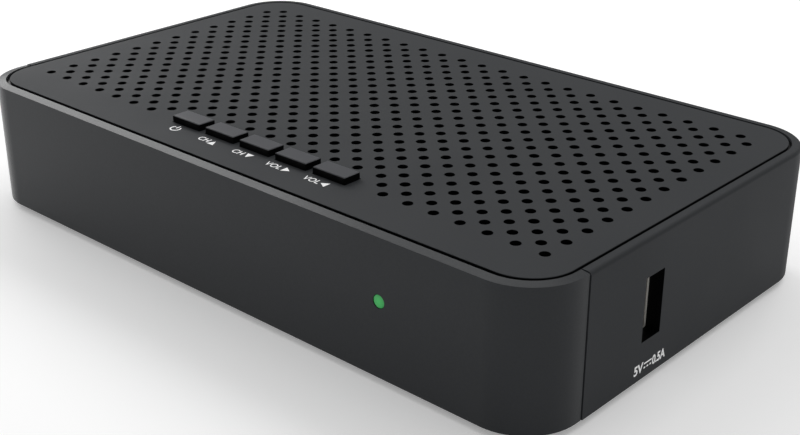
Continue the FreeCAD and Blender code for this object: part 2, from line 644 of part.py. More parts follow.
def key_cable():
    """Flat cable: level out of the key board's header, one bend, down into the main board's header."""
    y0 = key_header_y() + HEADER[1] / 2
    z0 = Z_PARTS + MAIN_HEADER_HEIGHT
    z1 = Z_KEY_BOARD - KEY_BOARD_THICK - KEY_HEADER_HEIGHT / 2
    half = CABLE[1] / 2
    x0 = HEADER_X - CABLE[0] / 2
    bend_y = MAIN_HEADER_Y - CABLE_BEND
    bend_z = z1 - CABLE_BEND
    level = block(x0, y0, z1 - half, x0 + CABLE[0], bend_y, z1 + half)
    drop = block(x0, MAIN_HEADER_Y - half, z0, x0 + CABLE[0], MAIN_HEADER_Y + half, bend_z)
    centre = FreeCAD.Vector(x0, bend_y, bend_z)
    ring = Part.makeCylinder(CABLE_BEND + half, CABLE[0], centre, FreeCAD.Vector(1, 0, 0))
    ring = ring.cut(Part.makeCylinder(CABLE_BEND - half, CABLE[0], centre, FreeCAD.Vector(1, 0, 0)))
    corner = block(x0, bend_y, bend_z, x0 + CABLE[0], bend_y + 2 * CABLE_BEND, bend_z + 2 * CABLE_BEND)
    quarter = ring.common(corner)
    return joined([level, quarter, drop])


# ---- front light and remote-control eye ----
def light_pipe():
    shaft = rod(LED_X, Z_LED, Y_FRONT, Y_FRONT + PIPE_LENGTH, PIPE_D)
    return shaft.fuse(rod(LED_X, Z_LED, Y_FRONT + WALL, Y_FRONT + WALL + PIPE_COLLAR[1], PIPE_COLLAR[0]))


def led_span():
    """Front and back of the light's round body, along Y."""
    front = Y_FRONT + PIPE_LENGTH + 2 * FIT_GAP
    return front, front + LED_D / 2 + LED_LENGTH


def status_led():
    """Light with a domed nose and two leads that turn down to the board behind its holder."""
    front, back = led_span()
    dome = Part.makeSphere(LED_D / 2, FreeCAD.Vector(LED_X, front + LED_D / 2, Z_LED))
    parts = [dome, rod(LED_X, Z_LED, front + LED_D / 2, back, LED_D)]
    for side in (-1, 1):
        x = LED_X + side * LED_LEAD_PITCH / 2
        half = LED_LEAD / 2
        y1 = back + 3 * LED_LEAD
        parts.append(block(x - half, back - LED_LEAD, Z_LED - half, x + half, y1, Z_LED + half))
        parts.append(block(x - half, y1 - LED_LEAD, Z_PARTS, x + half, y1, Z_LED))
    return joined(parts)


def led_holder():
    front, back = led_span()
    half = HOLDER[0] / 2
    body = block(LED_X - half, back - HOLDER[1], Z_PARTS, LED_X + half, back, Z_LED + half)
    return body.cut(rod(LED_X, Z_LED, front, back + WALL, LED_D + 2 * FIT_GAP))


def remote_eye():
    """Infrared receiver on three leads, its lens towards the bezel."""
    y = Y_FRONT + BOARD_EDGE_GAP[0] + EYE_BODY[1] / 2
    z0 = Z_PARTS + EYE_RISE
    body = centred(EYE_X, y, z0, EYE_BODY[0], EYE_BODY[1], EYE_BODY[2])
    lens = Part.makeSphere(EYE_LENS_R, FreeCAD.Vector(EYE_X, y - EYE_BODY[1] / 2, z0 + EYE_BODY[2] / 2))
    leads = [centred(EYE_X + n * LED_LEAD_PITCH, y, Z_PARTS, LED_LEAD, LED_LEAD, EYE_RISE)
             for n in (-1, 0, 1)]
    return joined([body, lens] + leads)


# ---- rear sockets ----
def aerial_places():
    """Faces along the aerial socket's axis: the can, the flange's front and the thread's root."""
    y_can = Y_REAR - BOARD_EDGE_GAP[1]
    return y_can, y_can + AERIAL_FLANGE[1], Y_REAR + SOCKET_REACH - THREAD_LENGTH


def tuner_can():
    """Screening can over the tuner, folded from sheet and open towards the board."""
    y_can = aerial_places()[0]
    size_x, size_y, height = TUNER_SIZE
    y = y_can - size_y / 2
    can = centred(AERIAL_X, y, Z_PARTS, size_x, size_y, height)
    room = centred(AERIAL_X, y, Z_PARTS,
                   size_x - 2 * TUNER_WALL, size_y - 2 * TUNER_WALL, height - TUNER_WALL)
    return can.cut(room)


def aerial_socket():
    """Aerial socket: a flange against the can, a neck through the wall and nut, and the free thread."""
    y_can, y_flange, y_thread = aerial_places()
    y_end = Y_REAR + SOCKET_REACH
    body = joined([rod(AERIAL_X, Z_AXIS, y_can, y_flange, AERIAL_FLANGE[0]),
                   rod(AERIAL_X, Z_AXIS, y_flange, y_thread, NECK_D),
                   rod(AERIAL_X, Z_AXIS, y_thread, y_end, THREAD_D)])
    return body.cut(rod(AERIAL_X, Z_AXIS, y_end - AERIAL_BORE_DEPTH, y_end, AERIAL_BORE_D))


def aerial_insulator():
    y_end = Y_REAR + SOCKET_REACH
    y_front = y_end - AERIAL_CORE_INSET
    core = rod(AERIAL_X, Z_AXIS, y_end - AERIAL_BORE_DEPTH, y_front, AERIAL_BORE_D - FIT_GAP)
    return core.cut(rod(AERIAL_X, Z_AXIS, y_end - AERIAL_BORE_DEPTH / 2, y_end, AERIAL_PIN_HOLE_D))


def aerial_washer():
    ring = rod(AERIAL_X, Z_AXIS, Y_REAR, Y_REAR + WASHER[1], WASHER[0])
    return ring.cut(rod(AERIAL_X, Z_AXIS, Y_REAR, Y_REAR + WASHER[1], WASHER[2]))


def aerial_nut():
    """Hexagon nut that draws the socket against the rear wall."""
    y0 = Y_REAR + WASHER[1]
    radius = NUT_ACROSS / math.sqrt(3)
    angles = [n * math.pi / 3 for n in range(6)]
    corners = [(AERIAL_X + radius * math.cos(a), y0, Z_AXIS + radius * math.sin(a)) for a in angles]
    nut = prism(corners, (0, NUT_THICK, 0))
    return nut.cut(rod(AERIAL_X, Z_AXIS, y0, y0 + NUT_THICK, NECK_D + FIT_GAP))


def audio_places():
    """Front of the audio socket's block, the collar's end and the ring's end, along Y."""
    return Y_WALL - BLOCK_GAP, Y_REAR + AUDIO_COLLAR_REACH, Y_REAR + AUDIO_REACH


def audio_ring():
    y_block, y_collar, y_end = audio_places()
    ring = rod(AUDIO_X, Z_AXIS, y_block, y_collar, AUDIO_COLLAR_D).fuse(
        rod(AUDIO_X, Z_AXIS, y_collar, y_end, AUDIO_RING_D))
    return ring.cut(rod(AUDIO_X, Z_AXIS, y_block, y_end, AUDIO_RING_D - 2 * AUDIO_RING_WALL))


def audio_body():
    """Plastic body of the audio socket with the core inside the metal ring, in one moulding."""
    y_block, y_collar, y_end = audio_places()
    body = centred(AUDIO_X, y_block - AUDIO_BLOCK[1] / 2, Z_PARTS, *AUDIO_BLOCK)
    core_d = AUDIO_RING_D - 2 * AUDIO_RING_WALL - FIT_GAP
    core = rod(AUDIO_X, Z_AXIS, y_block, y_end - AUDIO_CORE_INSET, core_d)
    return joined([body, core]).cut(rod(AUDIO_X, Z_AXIS, y_end - AUDIO_HOLE_DEPTH, y_end, AUDIO_HOLE_D))


def av_jack():
    """Socket for a 3.5 mm plug, its nose in the rear wall."""
    z = Z_PARTS + AV_BLOCK[2] / 2
    y_block = Y_WALL - BLOCK_GAP
    y_end = Y_REAR - AV_NOSE_INSET
    body = centred(AV_X, y_block - AV_BLOCK[1] / 2, Z_PARTS, *AV_BLOCK)
    nose = rod(AV_X, z, y_block, y_end, AV_NOSE_D)
    return joined([body, nose]).cut(rod(AV_X, z, y_end - AV_BORE_DEPTH, y_end, AV_BORE_D))


def video_profile(half_x, half_z, chamfer, y0, y1):
    """The digital video socket's outline: a low rectangle with its two lower corners cut off."""
    x = VIDEO_X
    z = Z_PARTS + VIDEO_RISE
    points = [(x - half_x, z + half_z), (x + half_x, z + half_z),
              (x + half_x, z - half_z + chamfer), (x + half_x - chamfer, z - half_z),
              (x - half_x + chamfer, z - half_z), (x - half_x, z - half_z + chamfer)]
    return prism([(px, y0, pz) for px, pz in points], (0, y1 - y0, 0))


def video_span():
    y1 = Y_REAR - SOCKET_INSET
    return y1 - VIDEO_LENGTH, y1


def video_shell():
    """Folded metal shell of the video socket, on two feet that reach the board."""
    y0, y1 = video_span()
    half_x, half_z = VIDEO_MOUTH[0] / 2, VIDEO_MOUTH[1] / 2
    tube = video_profile(half_x + VIDEO_WALL, half_z + VIDEO_WALL, VIDEO_CHAMFER, y0, y1)
    tube = tube.cut(video_profile(half_x, half_z, VIDEO_CHAMFER, y0 - VIDEO_WALL, y1 + VIDEO_WALL))
    tabs = [centred(VIDEO_X + side * (half_x + VIDEO_WALL / 2), y0 + VIDEO_TAB[0], Z_PARTS,
                    VIDEO_WALL, VIDEO_TAB[1], VIDEO_RISE) for side in (-1, 1)]
    return joined([tube] + tabs)


def video_tongue():
    """Plastic insert of the video socket: a back block and the thin tongue that carries the contacts."""
    y0, y1 = video_span()
    half_x, half_z = VIDEO_MOUTH[0] / 2 - FIT_GAP, VIDEO_MOUTH[1] / 2 - FIT_GAP
    y_tip = y1 - VIDEO_TIP_INSET
    back = video_profile(half_x, half_z, VIDEO_CHAMFER, y0, y_tip - VIDEO_TONGUE[1])
    tongue = centred(VIDEO_X, y_tip - VIDEO_TONGUE[1] / 2, Z_PARTS + VIDEO_RISE, *VIDEO_TONGUE)
    return joined([back, tongue])


def dc_jack():
    """Power inlet: a block with a round bore whose pin stands free in the middle."""
    y1 = Y_WALL - FIT_GAP
    body = centred(DC_X, y1 - DC_BLOCK[1] / 2, Z_PARTS, *DC_BLOCK)
    return body.cut(rod(DC_X, Z_PARTS + DC_RISE, y1 - DC_BORE_DEPTH, y1, DC_BORE_D))


def dc_pin():
    y0 = Y_WALL - FIT_GAP - DC_BORE_DEPTH
    return rod(DC_X, Z_PARTS + DC_RISE, y0, y0 + DC_PIN_LENGTH, DC_PIN_D)


# ---- data port ----
def usb_shell():
    """Metal shell of the data port, standing on edge, with two feet on the board."""
    length, size_y, size_z = USB_SHELL
    x0 = X_USB - length
    tube = block(x0, Y_USB - size_y / 2, Z_USB - size_z / 2, X_USB, Y_USB + size_y / 2, Z_USB + size_z / 2)
    half_y = size_y / 2 - USB_SHELL_WALL
    half_z = size_z / 2 - USB_SHELL_WALL
    tube = tube.cut(block(x0, Y_USB - half_y, Z_USB - half_z, X_USB, Y_USB + half_y, Z_USB + half_z))
    foot_x = X_USB - length / 2
    rise = Z_USB - half_z - Z_PARTS
    foot_y = (size_y - USB_SHELL_WALL) / 2
    feet = [centred(foot_x, Y_USB + side * foot_y, Z_PARTS, USB_FOOT, USB_SHELL_WALL, rise)
            for side in (-1, 1)]
    return joined([tube] + feet)


def usb_tongue_place():
    """Root and tip of the data port's tongue along X, and its middle along Y."""
    x_tip = X_USB - USB_TIP_INSET
    return x_tip - USB_TONGUE[0], x_tip, Y_USB + USB_TONGUE_SHIFT


def usb_insert():
    x_root, x_tip, y = usb_tongue_place()
    half_y = USB_SHELL[1] / 2 - USB_SHELL_WALL - FIT_GAP / 2
    half_z = USB_SHELL[2] / 2 - USB_SHELL_WALL - FIT_GAP / 2
    back = block(X_USB - USB_SHELL[0], Y_USB - half_y, Z_USB - half_z, x_root, Y_USB + half_y, Z_USB + half_z)
    tongue = block(x_root, y - USB_TONGUE[1] / 2, Z_USB - USB_TONGUE[2] / 2,
                   x_tip, y + USB_TONGUE[1] / 2, Z_USB + USB_TONGUE[2] / 2)
    return joined([back, tongue])


def usb_contacts():
    """Four sprung contacts along the tongue's open side."""
    x_root, x_tip, y = usb_tongue_place()
    length, thick, width = USB_CONTACT
    x = x_root + length / 2
    y_contact = y - (USB_TONGUE[1] + thick) / 2
    return Part.makeCompound([centred(x, y_contact, Z_USB + z - width / 2, length, thick, width)
                              for z in USB_CONTACT_Z])


# ---- the whole receiver ----
NODES = {
    "front_bezel": front_bezel,
    "rear_casing": rear_casing,
    "top_plate": top_plate,
    "base_tray": base_tray,
    "rubber_feet": rubber_feet,
    "case_screws": case_screws,
    "main_board": main_board,
    "board_screws": board_screws,
    "key_board": key_board,
    "key_screws": key_screws,
    "tact_switches": tact_switches,
    "cable_headers": cable_headers,
    "key_cable": key_cable,
    "light_pipe": light_pipe,
    "status_led": status_led,
    "led_holder": led_holder,
    "remote_eye": remote_eye,
    "tuner_can": tuner_can,
    "aerial_socket": aerial_socket,
    "aerial_insulator": aerial_insulator,
    "aerial_washer": aerial_washer,
    "aerial_nut": aerial_nut,
    "audio_ring": audio_ring,
    "audio_body": audio_body,
    "av_jack": av_jack,
    "video_shell": video_shell,
    "video_tongue": video_tongue,
    "dc_jack": dc_jack,
    "dc_pin": dc_pin,
    "usb_shell": usb_shell,
    "usb_insert": usb_insert,
    "usb_contacts": usb_contacts,
    "processor": lambda: chip(PROCESSOR),
    "memory_chips": lambda: Part.makeCompound([chip(place) for place in MEMORY_CHIPS]),
    "storage_chip": lambda: chip(STORAGE_CHIP),
    "crystal": lambda: chip(CRYSTAL),
    "coils": coils,
    "capacitors": capacitors,
    "heat_sink": heat_sink,
}

os.makedirs("parts", exist_ok=True)
for name, make in NODES.items():
    make().exportStep("parts/" + name + ".step")
for name, x in zip(KEY_NAMES, key_places()):
    key_cap(x).exportStep("parts/" + name + "_key.step")
    switch_plunger(x).exportStep("parts/" + name + "_plunger.step")
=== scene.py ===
import math

import bmesh
import bpy
from mathutils import Matrix, Vector


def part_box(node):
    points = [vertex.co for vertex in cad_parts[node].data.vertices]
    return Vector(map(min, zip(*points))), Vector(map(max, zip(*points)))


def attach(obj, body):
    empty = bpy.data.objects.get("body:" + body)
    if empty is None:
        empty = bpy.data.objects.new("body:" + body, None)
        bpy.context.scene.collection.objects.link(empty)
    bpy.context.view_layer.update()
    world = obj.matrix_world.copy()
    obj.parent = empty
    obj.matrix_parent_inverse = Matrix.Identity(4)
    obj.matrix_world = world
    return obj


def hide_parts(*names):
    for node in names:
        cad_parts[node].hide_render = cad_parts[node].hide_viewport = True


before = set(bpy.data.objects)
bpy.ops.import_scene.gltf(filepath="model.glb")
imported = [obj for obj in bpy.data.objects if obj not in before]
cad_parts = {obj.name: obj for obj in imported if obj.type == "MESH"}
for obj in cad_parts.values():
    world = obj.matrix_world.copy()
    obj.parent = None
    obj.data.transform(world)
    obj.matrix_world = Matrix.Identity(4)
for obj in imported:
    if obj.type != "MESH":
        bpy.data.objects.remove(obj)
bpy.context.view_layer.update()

# ---- base tray ----
# The floor of the case, one moulding in dark ABS that carries the main board on standoffs. Four screws hold
# it; its mould was spark eroded, which leaves a dull, even grain.
MM = 0.001                  # a piece is shaped in millimetres and finished in metres
WELD = 0.002                # points of a carried-over node that are nearer than this become one
FLAT = math.radians(0.5)    # faces that turn less than this become one
CREASE = math.radians(35)   # an edge sharper than this stays crisp
MOULD_EDGE = 0.1            # the radius that a mould leaves on an edge
CASE_GRAIN = 0.4
CASE_GRAIN_DEPTH = 0.004
CASE_CLOUD = 22.0           # slow differences in gloss, from how the plastic filled the mould
CASE_DARK = "#303234"
CASE_LIGHT = "#35373a"
GLOSS_DRIFT = 0.05          # how far a moulding's roughness strays either way


def linear(code):
    """A sRGB hex colour as linear red, green, blue and alpha."""
    shares = [int(code[n:n + 2], 16) / 255 for n in (1, 3, 5)]
    return [s / 12.92 if s <= 0.04045 else ((s + 0.055) / 1.055) ** 2.4 for s in shares] + [1.0]


def add(tree, kind, values=None, **settings):
    """Adds a node. Settings are its properties. Values are its inputs: plain, an output, or a node, which
    stands for its first output."""
    node = tree.nodes.new(kind)
    for name, value in settings.items():
        setattr(node, name, value)
    for name, value in (values or {}).items():
        sources = [v for v in (value if isinstance(value, tuple) else (value,))
                   if isinstance(v, (bpy.types.Node, bpy.types.NodeSocket))]
        for source in sources:
            output = source.outputs[0] if isinstance(source, bpy.types.Node) else source
            tree.links.new(output, node.inputs[name])
        if not sources:
            node.inputs[name].default_value = value
    return node


def new_finish(name):
    """An empty material, its tree, and the place on the object in millimetres."""
    finish = bpy.data.materials.new(name)
    finish.use_nodes = True
    tree = finish.node_tree
    tree.nodes.clear()
    place = add(tree, "ShaderNodeTexCoord").outputs["Object"]
    return finish, tree, add(tree, "ShaderNodeVectorMath", {0: place, "Scale": 1 / MM}, operation="SCALE")


def moulded(name, dark, light, roughness, specular=0.5, grain=0.6, depth=0.004, cloud=6.0):
    """A moulded plastic: grain in its colour and surface, and a slow difference in gloss. Sizes are in
    millimetres, and the grain is coarser than a mould's real 0.1 mm, which is too fine to show."""
    finish, tree, place = new_finish(name)
    fine = add(tree, "ShaderNodeTexNoise", {"Vector": place, "Scale": 1 / grain, "Detail": 1.0})
    slow = add(tree, "ShaderNodeTexNoise", {"Vector": place, "Scale": 1 / cloud, "Detail": 2.0})
    tint = add(tree, "ShaderNodeMix", {"Factor": fine, "A": linear(dark), "B": linear(light)},
               data_type="RGBA").outputs["Result"]
    gloss = add(tree, "ShaderNodeMapRange", {"Value": slow, "To Min": roughness - GLOSS_DRIFT,
                                             "To Max": roughness + GLOSS_DRIFT})
    relief = add(tree, "ShaderNodeBump", {"Height": fine, "Distance": depth * MM, "Strength": 1.0})
    surface = add(tree, "ShaderNodeBsdfPrincipled", {
        "Base Color": tint, "Roughness": gloss, "Specular IOR Level": specular, "Normal": relief})
    add(tree, "ShaderNodeOutputMaterial", {"Surface": surface})
    return finish


def as_object(name, shape):
    """Hands a shape over as an object at the origin."""
    mesh = bpy.data.meshes.new(name)
    shape.to_mesh(mesh)
    shape.free()
    piece = bpy.data.objects.new(name, mesh)
    bpy.context.scene.collection.objects.link(piece)
    return piece


def baked(piece):
    """What an object's modifiers make of it, as a plain mesh. The modifiers go."""
    evaluated = bpy.context.evaluated_depsgraph_get()
    mesh = bpy.data.meshes.new_from_object(piece.evaluated_get(evaluated), depsgraph=evaluated)
    piece.modifiers.clear()
    return mesh


def finished(name, shape, finish):
    """Finishes a piece: metres, normals outwards, rounds shaded smooth and flat faces left flat."""
    bmesh.ops.recalc_face_normals(shape, faces=shape.faces)
    bmesh.ops.scale(shape, vec=(MM, MM, MM), verts=shape.verts)
    for face in shape.faces:
        face.smooth = True
    for edge in shape.edges:
        edge.smooth = len(edge.link_faces) == 2 and edge.calc_face_angle() < CREASE
    piece = as_object(name, shape)
    weighted = piece.modifiers.new("flat faces stay flat", "WEIGHTED_NORMAL")
    weighted.keep_sharp = True
    piece.data = baked(piece)
    piece.data.materials.clear()
    piece.data.materials.append(finish)
    return piece


def rounded(shape, width):
    """Rounds the sharp edges of a shape."""
    sharp = [edge for edge in shape.edges if edge.calc_face_angle() > CREASE]
    bmesh.ops.bevel(shape, geom=sharp, offset=width, offset_type="OFFSET", segments=3, profile=0.5,
                    affect="EDGES", clamp_overlap=True)
    return shape


def softened(node, edge):
    """A merged copy of a node of the frame, in millimetres, with its sharp edges rounded."""
    shape = bmesh.new()
    shape.from_mesh(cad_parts[node].data)
    bmesh.ops.scale(shape, vec=(1 / MM, 1 / MM, 1 / MM), verts=shape.verts)
    bmesh.ops.remove_doubles(shape, verts=shape.verts, dist=WELD)
    bmesh.ops.dissolve_limit(shape, angle_limit=FLAT, verts=shape.verts, edges=shape.edges)
    return rounded(shape, edge)


def fit(piece, slot, *nodes, body="receiver"):
    """Puts a piece on its body, in the place of nodes of the frame."""
    if nodes:
        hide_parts(*nodes)
    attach(piece, body)


def dressed(name, node, finish, slot, edge, body="receiver"):
    """A node of the frame with its edges rounded and its finish on, fitted in its own place."""
    fit(finished(name, softened(node, edge), finish), slot, node, body=body)


# Dull and even: it breaks each highlight into a wide, faint sheen.
case_abs = moulded("abs_spark_eroded", CASE_DARK, CASE_LIGHT, roughness=0.6, specular=0.15, grain=CASE_GRAIN,
                   depth=CASE_GRAIN_DEPTH, cloud=CASE_CLOUD)
dressed("tray_moulding", "base_tray", case_abs, "casing_abs", edge=MOULD_EDGE)

# ---- rubber feet ----
# Four feet of black silicone rubber, pressed into pockets under the tray. Each has a shallow hollow in its
# sole, so that it stands on a soft rounded ring.
FOOT_D = 10.0
FOOT_SOLE = (2.6, 0.35)         # radius and depth of the hollow
FOOT_ROUND = 0.45
AXLE = 0.4                      # radius at which a turned form closes on its axis
ROUND_SIDES = 64


def span(node):
    """The lowest and highest corners of a node, in millimetres."""
    low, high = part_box(node)
    return Vector(low) / MM, Vector(high) / MM


def stacked(loops, tube=False):
    """A closed form made of loops of points, each joined to the next."""
    shape = bmesh.new()
    rings = [[shape.verts.new(point) for point in loop] for loop in loops]
    pairs = list(zip(rings, rings[1:])) + ([(rings[-1], rings[0])] if tube else [])
    count = len(rings[0])
    for low, high in pairs:
        for n in range(count):
            after = (n + 1) % count
            shape.faces.new((low[n], low[after], high[after], high[n]))
    if not tube:
        shape.faces.new(rings[0][::-1])
        shape.faces.new(rings[-1])
    bmesh.ops.recalc_face_normals(shape, faces=shape.faces)
    return shape


def eased(outline, radius, steps=4):
    """An outline with each corner between its ends rounded off."""
    points = [Vector(point) for point in outline]
    curve = [points[0]]
    for before, corner, after in zip(points, points[1:], points[2:]):
        into = before - corner
        out = after - corner
        start = corner + into.normalized() * min(radius, into.length / 2)
        end = corner + out.normalized() * min(radius, out.length / 2)
        for n in range(steps + 1):
            t = n / steps
            curve.append(start * (1 - t) ** 2 + corner * 2 * t * (1 - t) + end * t * t)
    return curve + [points[-1]]


def turned(outline, centre, turn=Matrix.Identity(3), sides=ROUND_SIDES, tube=False):
    """A turned form. Its outline is radii and places along the axis, which is +Z before the turn."""
    angles = [2 * math.pi * n / sides for n in range(sides)]
    return stacked([[turn @ Vector((radius * math.cos(a), radius * math.sin(a), along)) + Vector(centre)
                     for a in angles] for radius, along in outline], tube)


def recipe(name, **inputs):
    """A tree of geometry nodes with named inputs. It takes a start mesh first and a finish last."""
    tree = bpy.data.node_groups.new(name, "GeometryNodeTree")
    sockets = {"Geometry": "Geometry", **inputs, "Finish": "Material"}
    for label, kind in sockets.items():
        tree.interface.new_socket(label.replace("_", " "), in_out="INPUT", socket_type="NodeSocket" + kind)
    tree.interface.new_socket("Geometry", in_out="OUTPUT", socket_type="NodeSocketGeometry")
    return tree, tree.nodes.new("NodeGroupInput").outputs


def served(tree, given, geometry):
    """Ends a tree: what it made becomes real and takes the finish."""
    real = add(tree, "GeometryNodeRealizeInstances", {"Geometry": geometry})
    coated = add(tree, "GeometryNodeSetMaterial", {"Geometry": real, "Material": given["Finish"]})
    add(tree, "NodeGroupOutput", {"Geometry": coated})


def as_built(carrier):
    """What an object's modifiers make of it, as a shape to work on. The object goes."""
    mesh = baked(carrier)
    bpy.data.objects.remove(carrier)
    shape = bmesh.new()
    shape.from_mesh(mesh)
    bpy.data.meshes.remove(mesh)
    return shape


def grown(start, tree, finish, **sizes):
    """Runs a tree on a start mesh and gives what it makes."""
    carrier = as_object("start", start)
    growth = carrier.modifiers.new("growth", "NODES")
    growth.node_group = tree
    sockets = {socket.name: socket.identifier for socket in tree.interface.items_tree
               if socket.item_type == "SOCKET" and socket.in_out == "INPUT"}
    for label, value in {**sizes, "Finish": finish}.items():
        growth[sockets[label.replace("_", " ")]] = value
    return as_built(carrier)


rows, given = recipe("rows of one piece", Columns="Int", Rows="Int", Across="Float", Along="Float",
                     Middle="Vector")
seats = add(rows, "GeometryNodeMeshGrid", {"Size X": given["Across"], "Size Y": given["Along"],
                                           "Vertices X": given["Columns"], "Vertices Y": given["Rows"]})
placed = add(rows, "GeometryNodeTransform", {"Geometry": seats, "Translation": given["Middle"]})
repeated = add(rows, "GeometryNodeInstanceOnPoints", {"Points": placed, "Instance": given["Geometry"]})
served(rows, given, repeated)


def in_rows(shape, finish, columns, across, middle, deep=1, along=0.0):
    """One piece repeated in rows about a middle. Across and along are from the first to the last."""
    return grown(shape, rows, finish, Columns=columns, Rows=deep, Across=float(across), Along=float(along),
                 Middle=tuple(middle))


# Nearly black and matt, with a soft bloom where light grazes it.
rubber = moulded("silicone_rubber", "#0d0d0e", "#131314", roughness=0.78, specular=0.25, grain=0.5,
                 depth=0.006, cloud=3.0)
low, high = span("rubber_feet")
sole_r, sole_depth = FOOT_SOLE
foot = turned(eased([(AXLE, sole_depth), (sole_r, sole_depth), (sole_r + sole_depth, 0), (FOOT_D / 2, 0),
                     (FOOT_D / 2, high.z), (AXLE, high.z)], FOOT_ROUND), (0, 0, 0))
middle = (low + high) / 2
feet = in_rows(foot, rubber, 2, high.x - low.x - FOOT_D, (middle.x, middle.y, 0), 2, high.y - low.y - FOOT_D)
fit(finished("moulded_feet", feet, rubber), "rubber", "rubber_feet")

# ---- main board ----
# A board of glass fibre and epoxy under green solder mask. The copper tracks beneath the mask show as paler,
# slightly raised lines. The small board of the keys is cut from the same sheet.
TRACK = (7.6, 1.9, 0.25)        # length and pitch of the tracks, and their width
TRACK_HEIGHT = 0.03


def solder_mask():
    """Green lacquer over copper: a clear gloss, and paler lines where the tracks lift it."""
    finish, tree, place = new_finish("green_solder_mask")
    length, pitch, width = TRACK
    tracks = add(tree, "ShaderNodeTexBrick", {
        "Vector": place, "Color1": linear("#0b3d1f"), "Color2": linear("#0d4524"),
        "Mortar": linear("#1c6a38"), "Scale": 1.0, "Brick Width": length, "Row Height": pitch,
        "Mortar Size": width})
    raised = add(tree, "ShaderNodeBump", {"Height": tracks.outputs["Fac"], "Distance": TRACK_HEIGHT * MM})
    surface = add(tree, "ShaderNodeBsdfPrincipled", {
        "Base Color": tracks, "Roughness": 0.28, "Normal": raised})
    add(tree, "ShaderNodeOutputMaterial", {"Surface": surface})
    return finish


def covered(finish, *nodes):
    """Gives nodes of the frame their finish and leaves their shape."""
    for node in nodes:
        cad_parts[node].data.materials.clear()
        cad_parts[node].data.materials.append(finish)


covered(solder_mask(), "main_board", "key_board")

# ---- chips ----
# Black packages of moulded epoxy with drafted sides and a round dimple at the first contact, soldered flat on
# the board. The storage chip stands on thin tinned leads along its two ends.
CHIP_DRAFT = 0.12
CHIP_CORNER = 0.3
DIMPLE = (0.5, 0.08, 1.6)       # radius, depth, distance from two edges
DIMPLE_TAPER = 0.2
MEMORY_LENGTH = 13.5
CHIP_LEAD = (0.22, 0.13, 0.5)   # width, thickness, pitch
CHIP_LEADS = 22
LEAD_BENDS = (-0.3, 0.25, 0.45, 0.8)     # from the package's end: root, shoulder, knee and toe
STAIN_SCALE = 0.35              # stains to a millimetre
STAIN_GLOSS = (-0.06, 0.08)     # how the stains shift a plating's roughness
LINE_STRETCH = 0.05             # a drawn line's width over its length
LINE_DEPTH = 0.002


def rounded_rectangle(low, high, radius, z, steps=6):
    """A level loop of points round a rectangle with rounded corners."""
    corners = [(high.x - radius, high.y - radius), (low.x + radius, high.y - radius),
               (low.x + radius, low.y + radius), (high.x - radius, low.y + radius)]
    loop = []
    for number, (x, y) in enumerate(corners):
        for n in range(steps + 1):
            a = math.pi / 2 * (number + n / steps)
            loop.append(Vector((x + radius * math.cos(a), y + radius * math.sin(a), z)))
    return loop


def layered(low, high, layers, steps=6):
    """A closed form between level rounded rectangles. A layer is its inset, its corners' radius and its z."""
    loops = []
    for inset, radius, z in layers:
        pull = Vector((inset, inset, 0))
        loops.append(rounded_rectangle(low + pull, high - pull, radius, z, steps))
    return stacked(loops)


def carved(shape, tool, how="DIFFERENCE"):
    """Cuts a closed form with another, or joins the two, and gives what is left."""
    body = as_object("body", shape)
    other = as_object("tool", tool)
    change = body.modifiers.new("change", "BOOLEAN")
    change.object = other
    change.operation = how
    change.solver = "EXACT"
    changed = as_built(body)
    bpy.data.objects.remove(other)
    return changed


def together(*shapes):
    """Several shapes as one."""
    whole = bmesh.new()
    for shape in shapes:
        part = as_object("part", shape)
        whole.from_mesh(part.data)
        bpy.data.objects.remove(part)
    return whole


def package(low, high):
    """One chip's body: widest at half its height, with a dimple in its top."""
    body = layered(low, high, [(CHIP_DRAFT, CHIP_CORNER, low.z), (0, CHIP_CORNER, (low.z + high.z) / 2),
                               (CHIP_DRAFT, CHIP_CORNER, high.z)])
    radius, depth, inset = DIMPLE
    pit = turned([(radius * (1 - DIMPLE_TAPER), -depth), (radius * (1 + DIMPLE_TAPER), depth)],
                 (low.x + inset, high.y - inset, high.z), sides=24)
    return carved(body, pit)


def strip(path, width, thick):
    """A strip of sheet bent along a path of (y, z), centred on x = 0."""
    points = [Vector(point) for point in path]
    loops = []
    for number, point in enumerate(points):
        ahead = points[min(number + 1, len(points) - 1)] - points[max(number - 1, 0)]
        side = Vector((-ahead.y, ahead.x)).normalized() * thick / 2
        loops.append([Vector((x, *(point + side * s))) for x, s in
                      ((-width / 2, -1), (width / 2, -1), (width / 2, 1), (-width / 2, 1))])
    return stacked(loops)


def plated(name, colour, stain, roughness, brushed=0.3):
    """A plated metal: mirror-like, with a faint uneven stain and drawn lines along Y. The lines are coarser
    than the real ones, which are too fine to show."""
    finish, tree, place = new_finish(name)
    across = 1 / brushed
    drawn = add(tree, "ShaderNodeVectorMath", {0: place, 1: (across, LINE_STRETCH / brushed, across)},
                operation="MULTIPLY")
    lines = add(tree, "ShaderNodeTexNoise", {"Vector": drawn, "Scale": 1.0, "Detail": 1.0})
    patches = add(tree, "ShaderNodeTexNoise", {"Vector": place, "Scale": STAIN_SCALE, "Detail": 2.0})
    tint = add(tree, "ShaderNodeMix", {"Factor": patches, "A": linear(colour), "B": linear(stain)},
               data_type="RGBA").outputs["Result"]
    gloss = add(tree, "ShaderNodeMapRange", {"Value": patches, "To Min": roughness + STAIN_GLOSS[0],
                                             "To Max": roughness + STAIN_GLOSS[1]})
    relief = add(tree, "ShaderNodeBump", {"Height": lines, "Distance": LINE_DEPTH * MM})
    surface = add(tree, "ShaderNodeBsdfPrincipled", {
        "Base Color": tint, "Metallic": 1.0, "Roughness": gloss, "Normal": relief})
    add(tree, "ShaderNodeOutputMaterial", {"Surface": surface})
    return finish


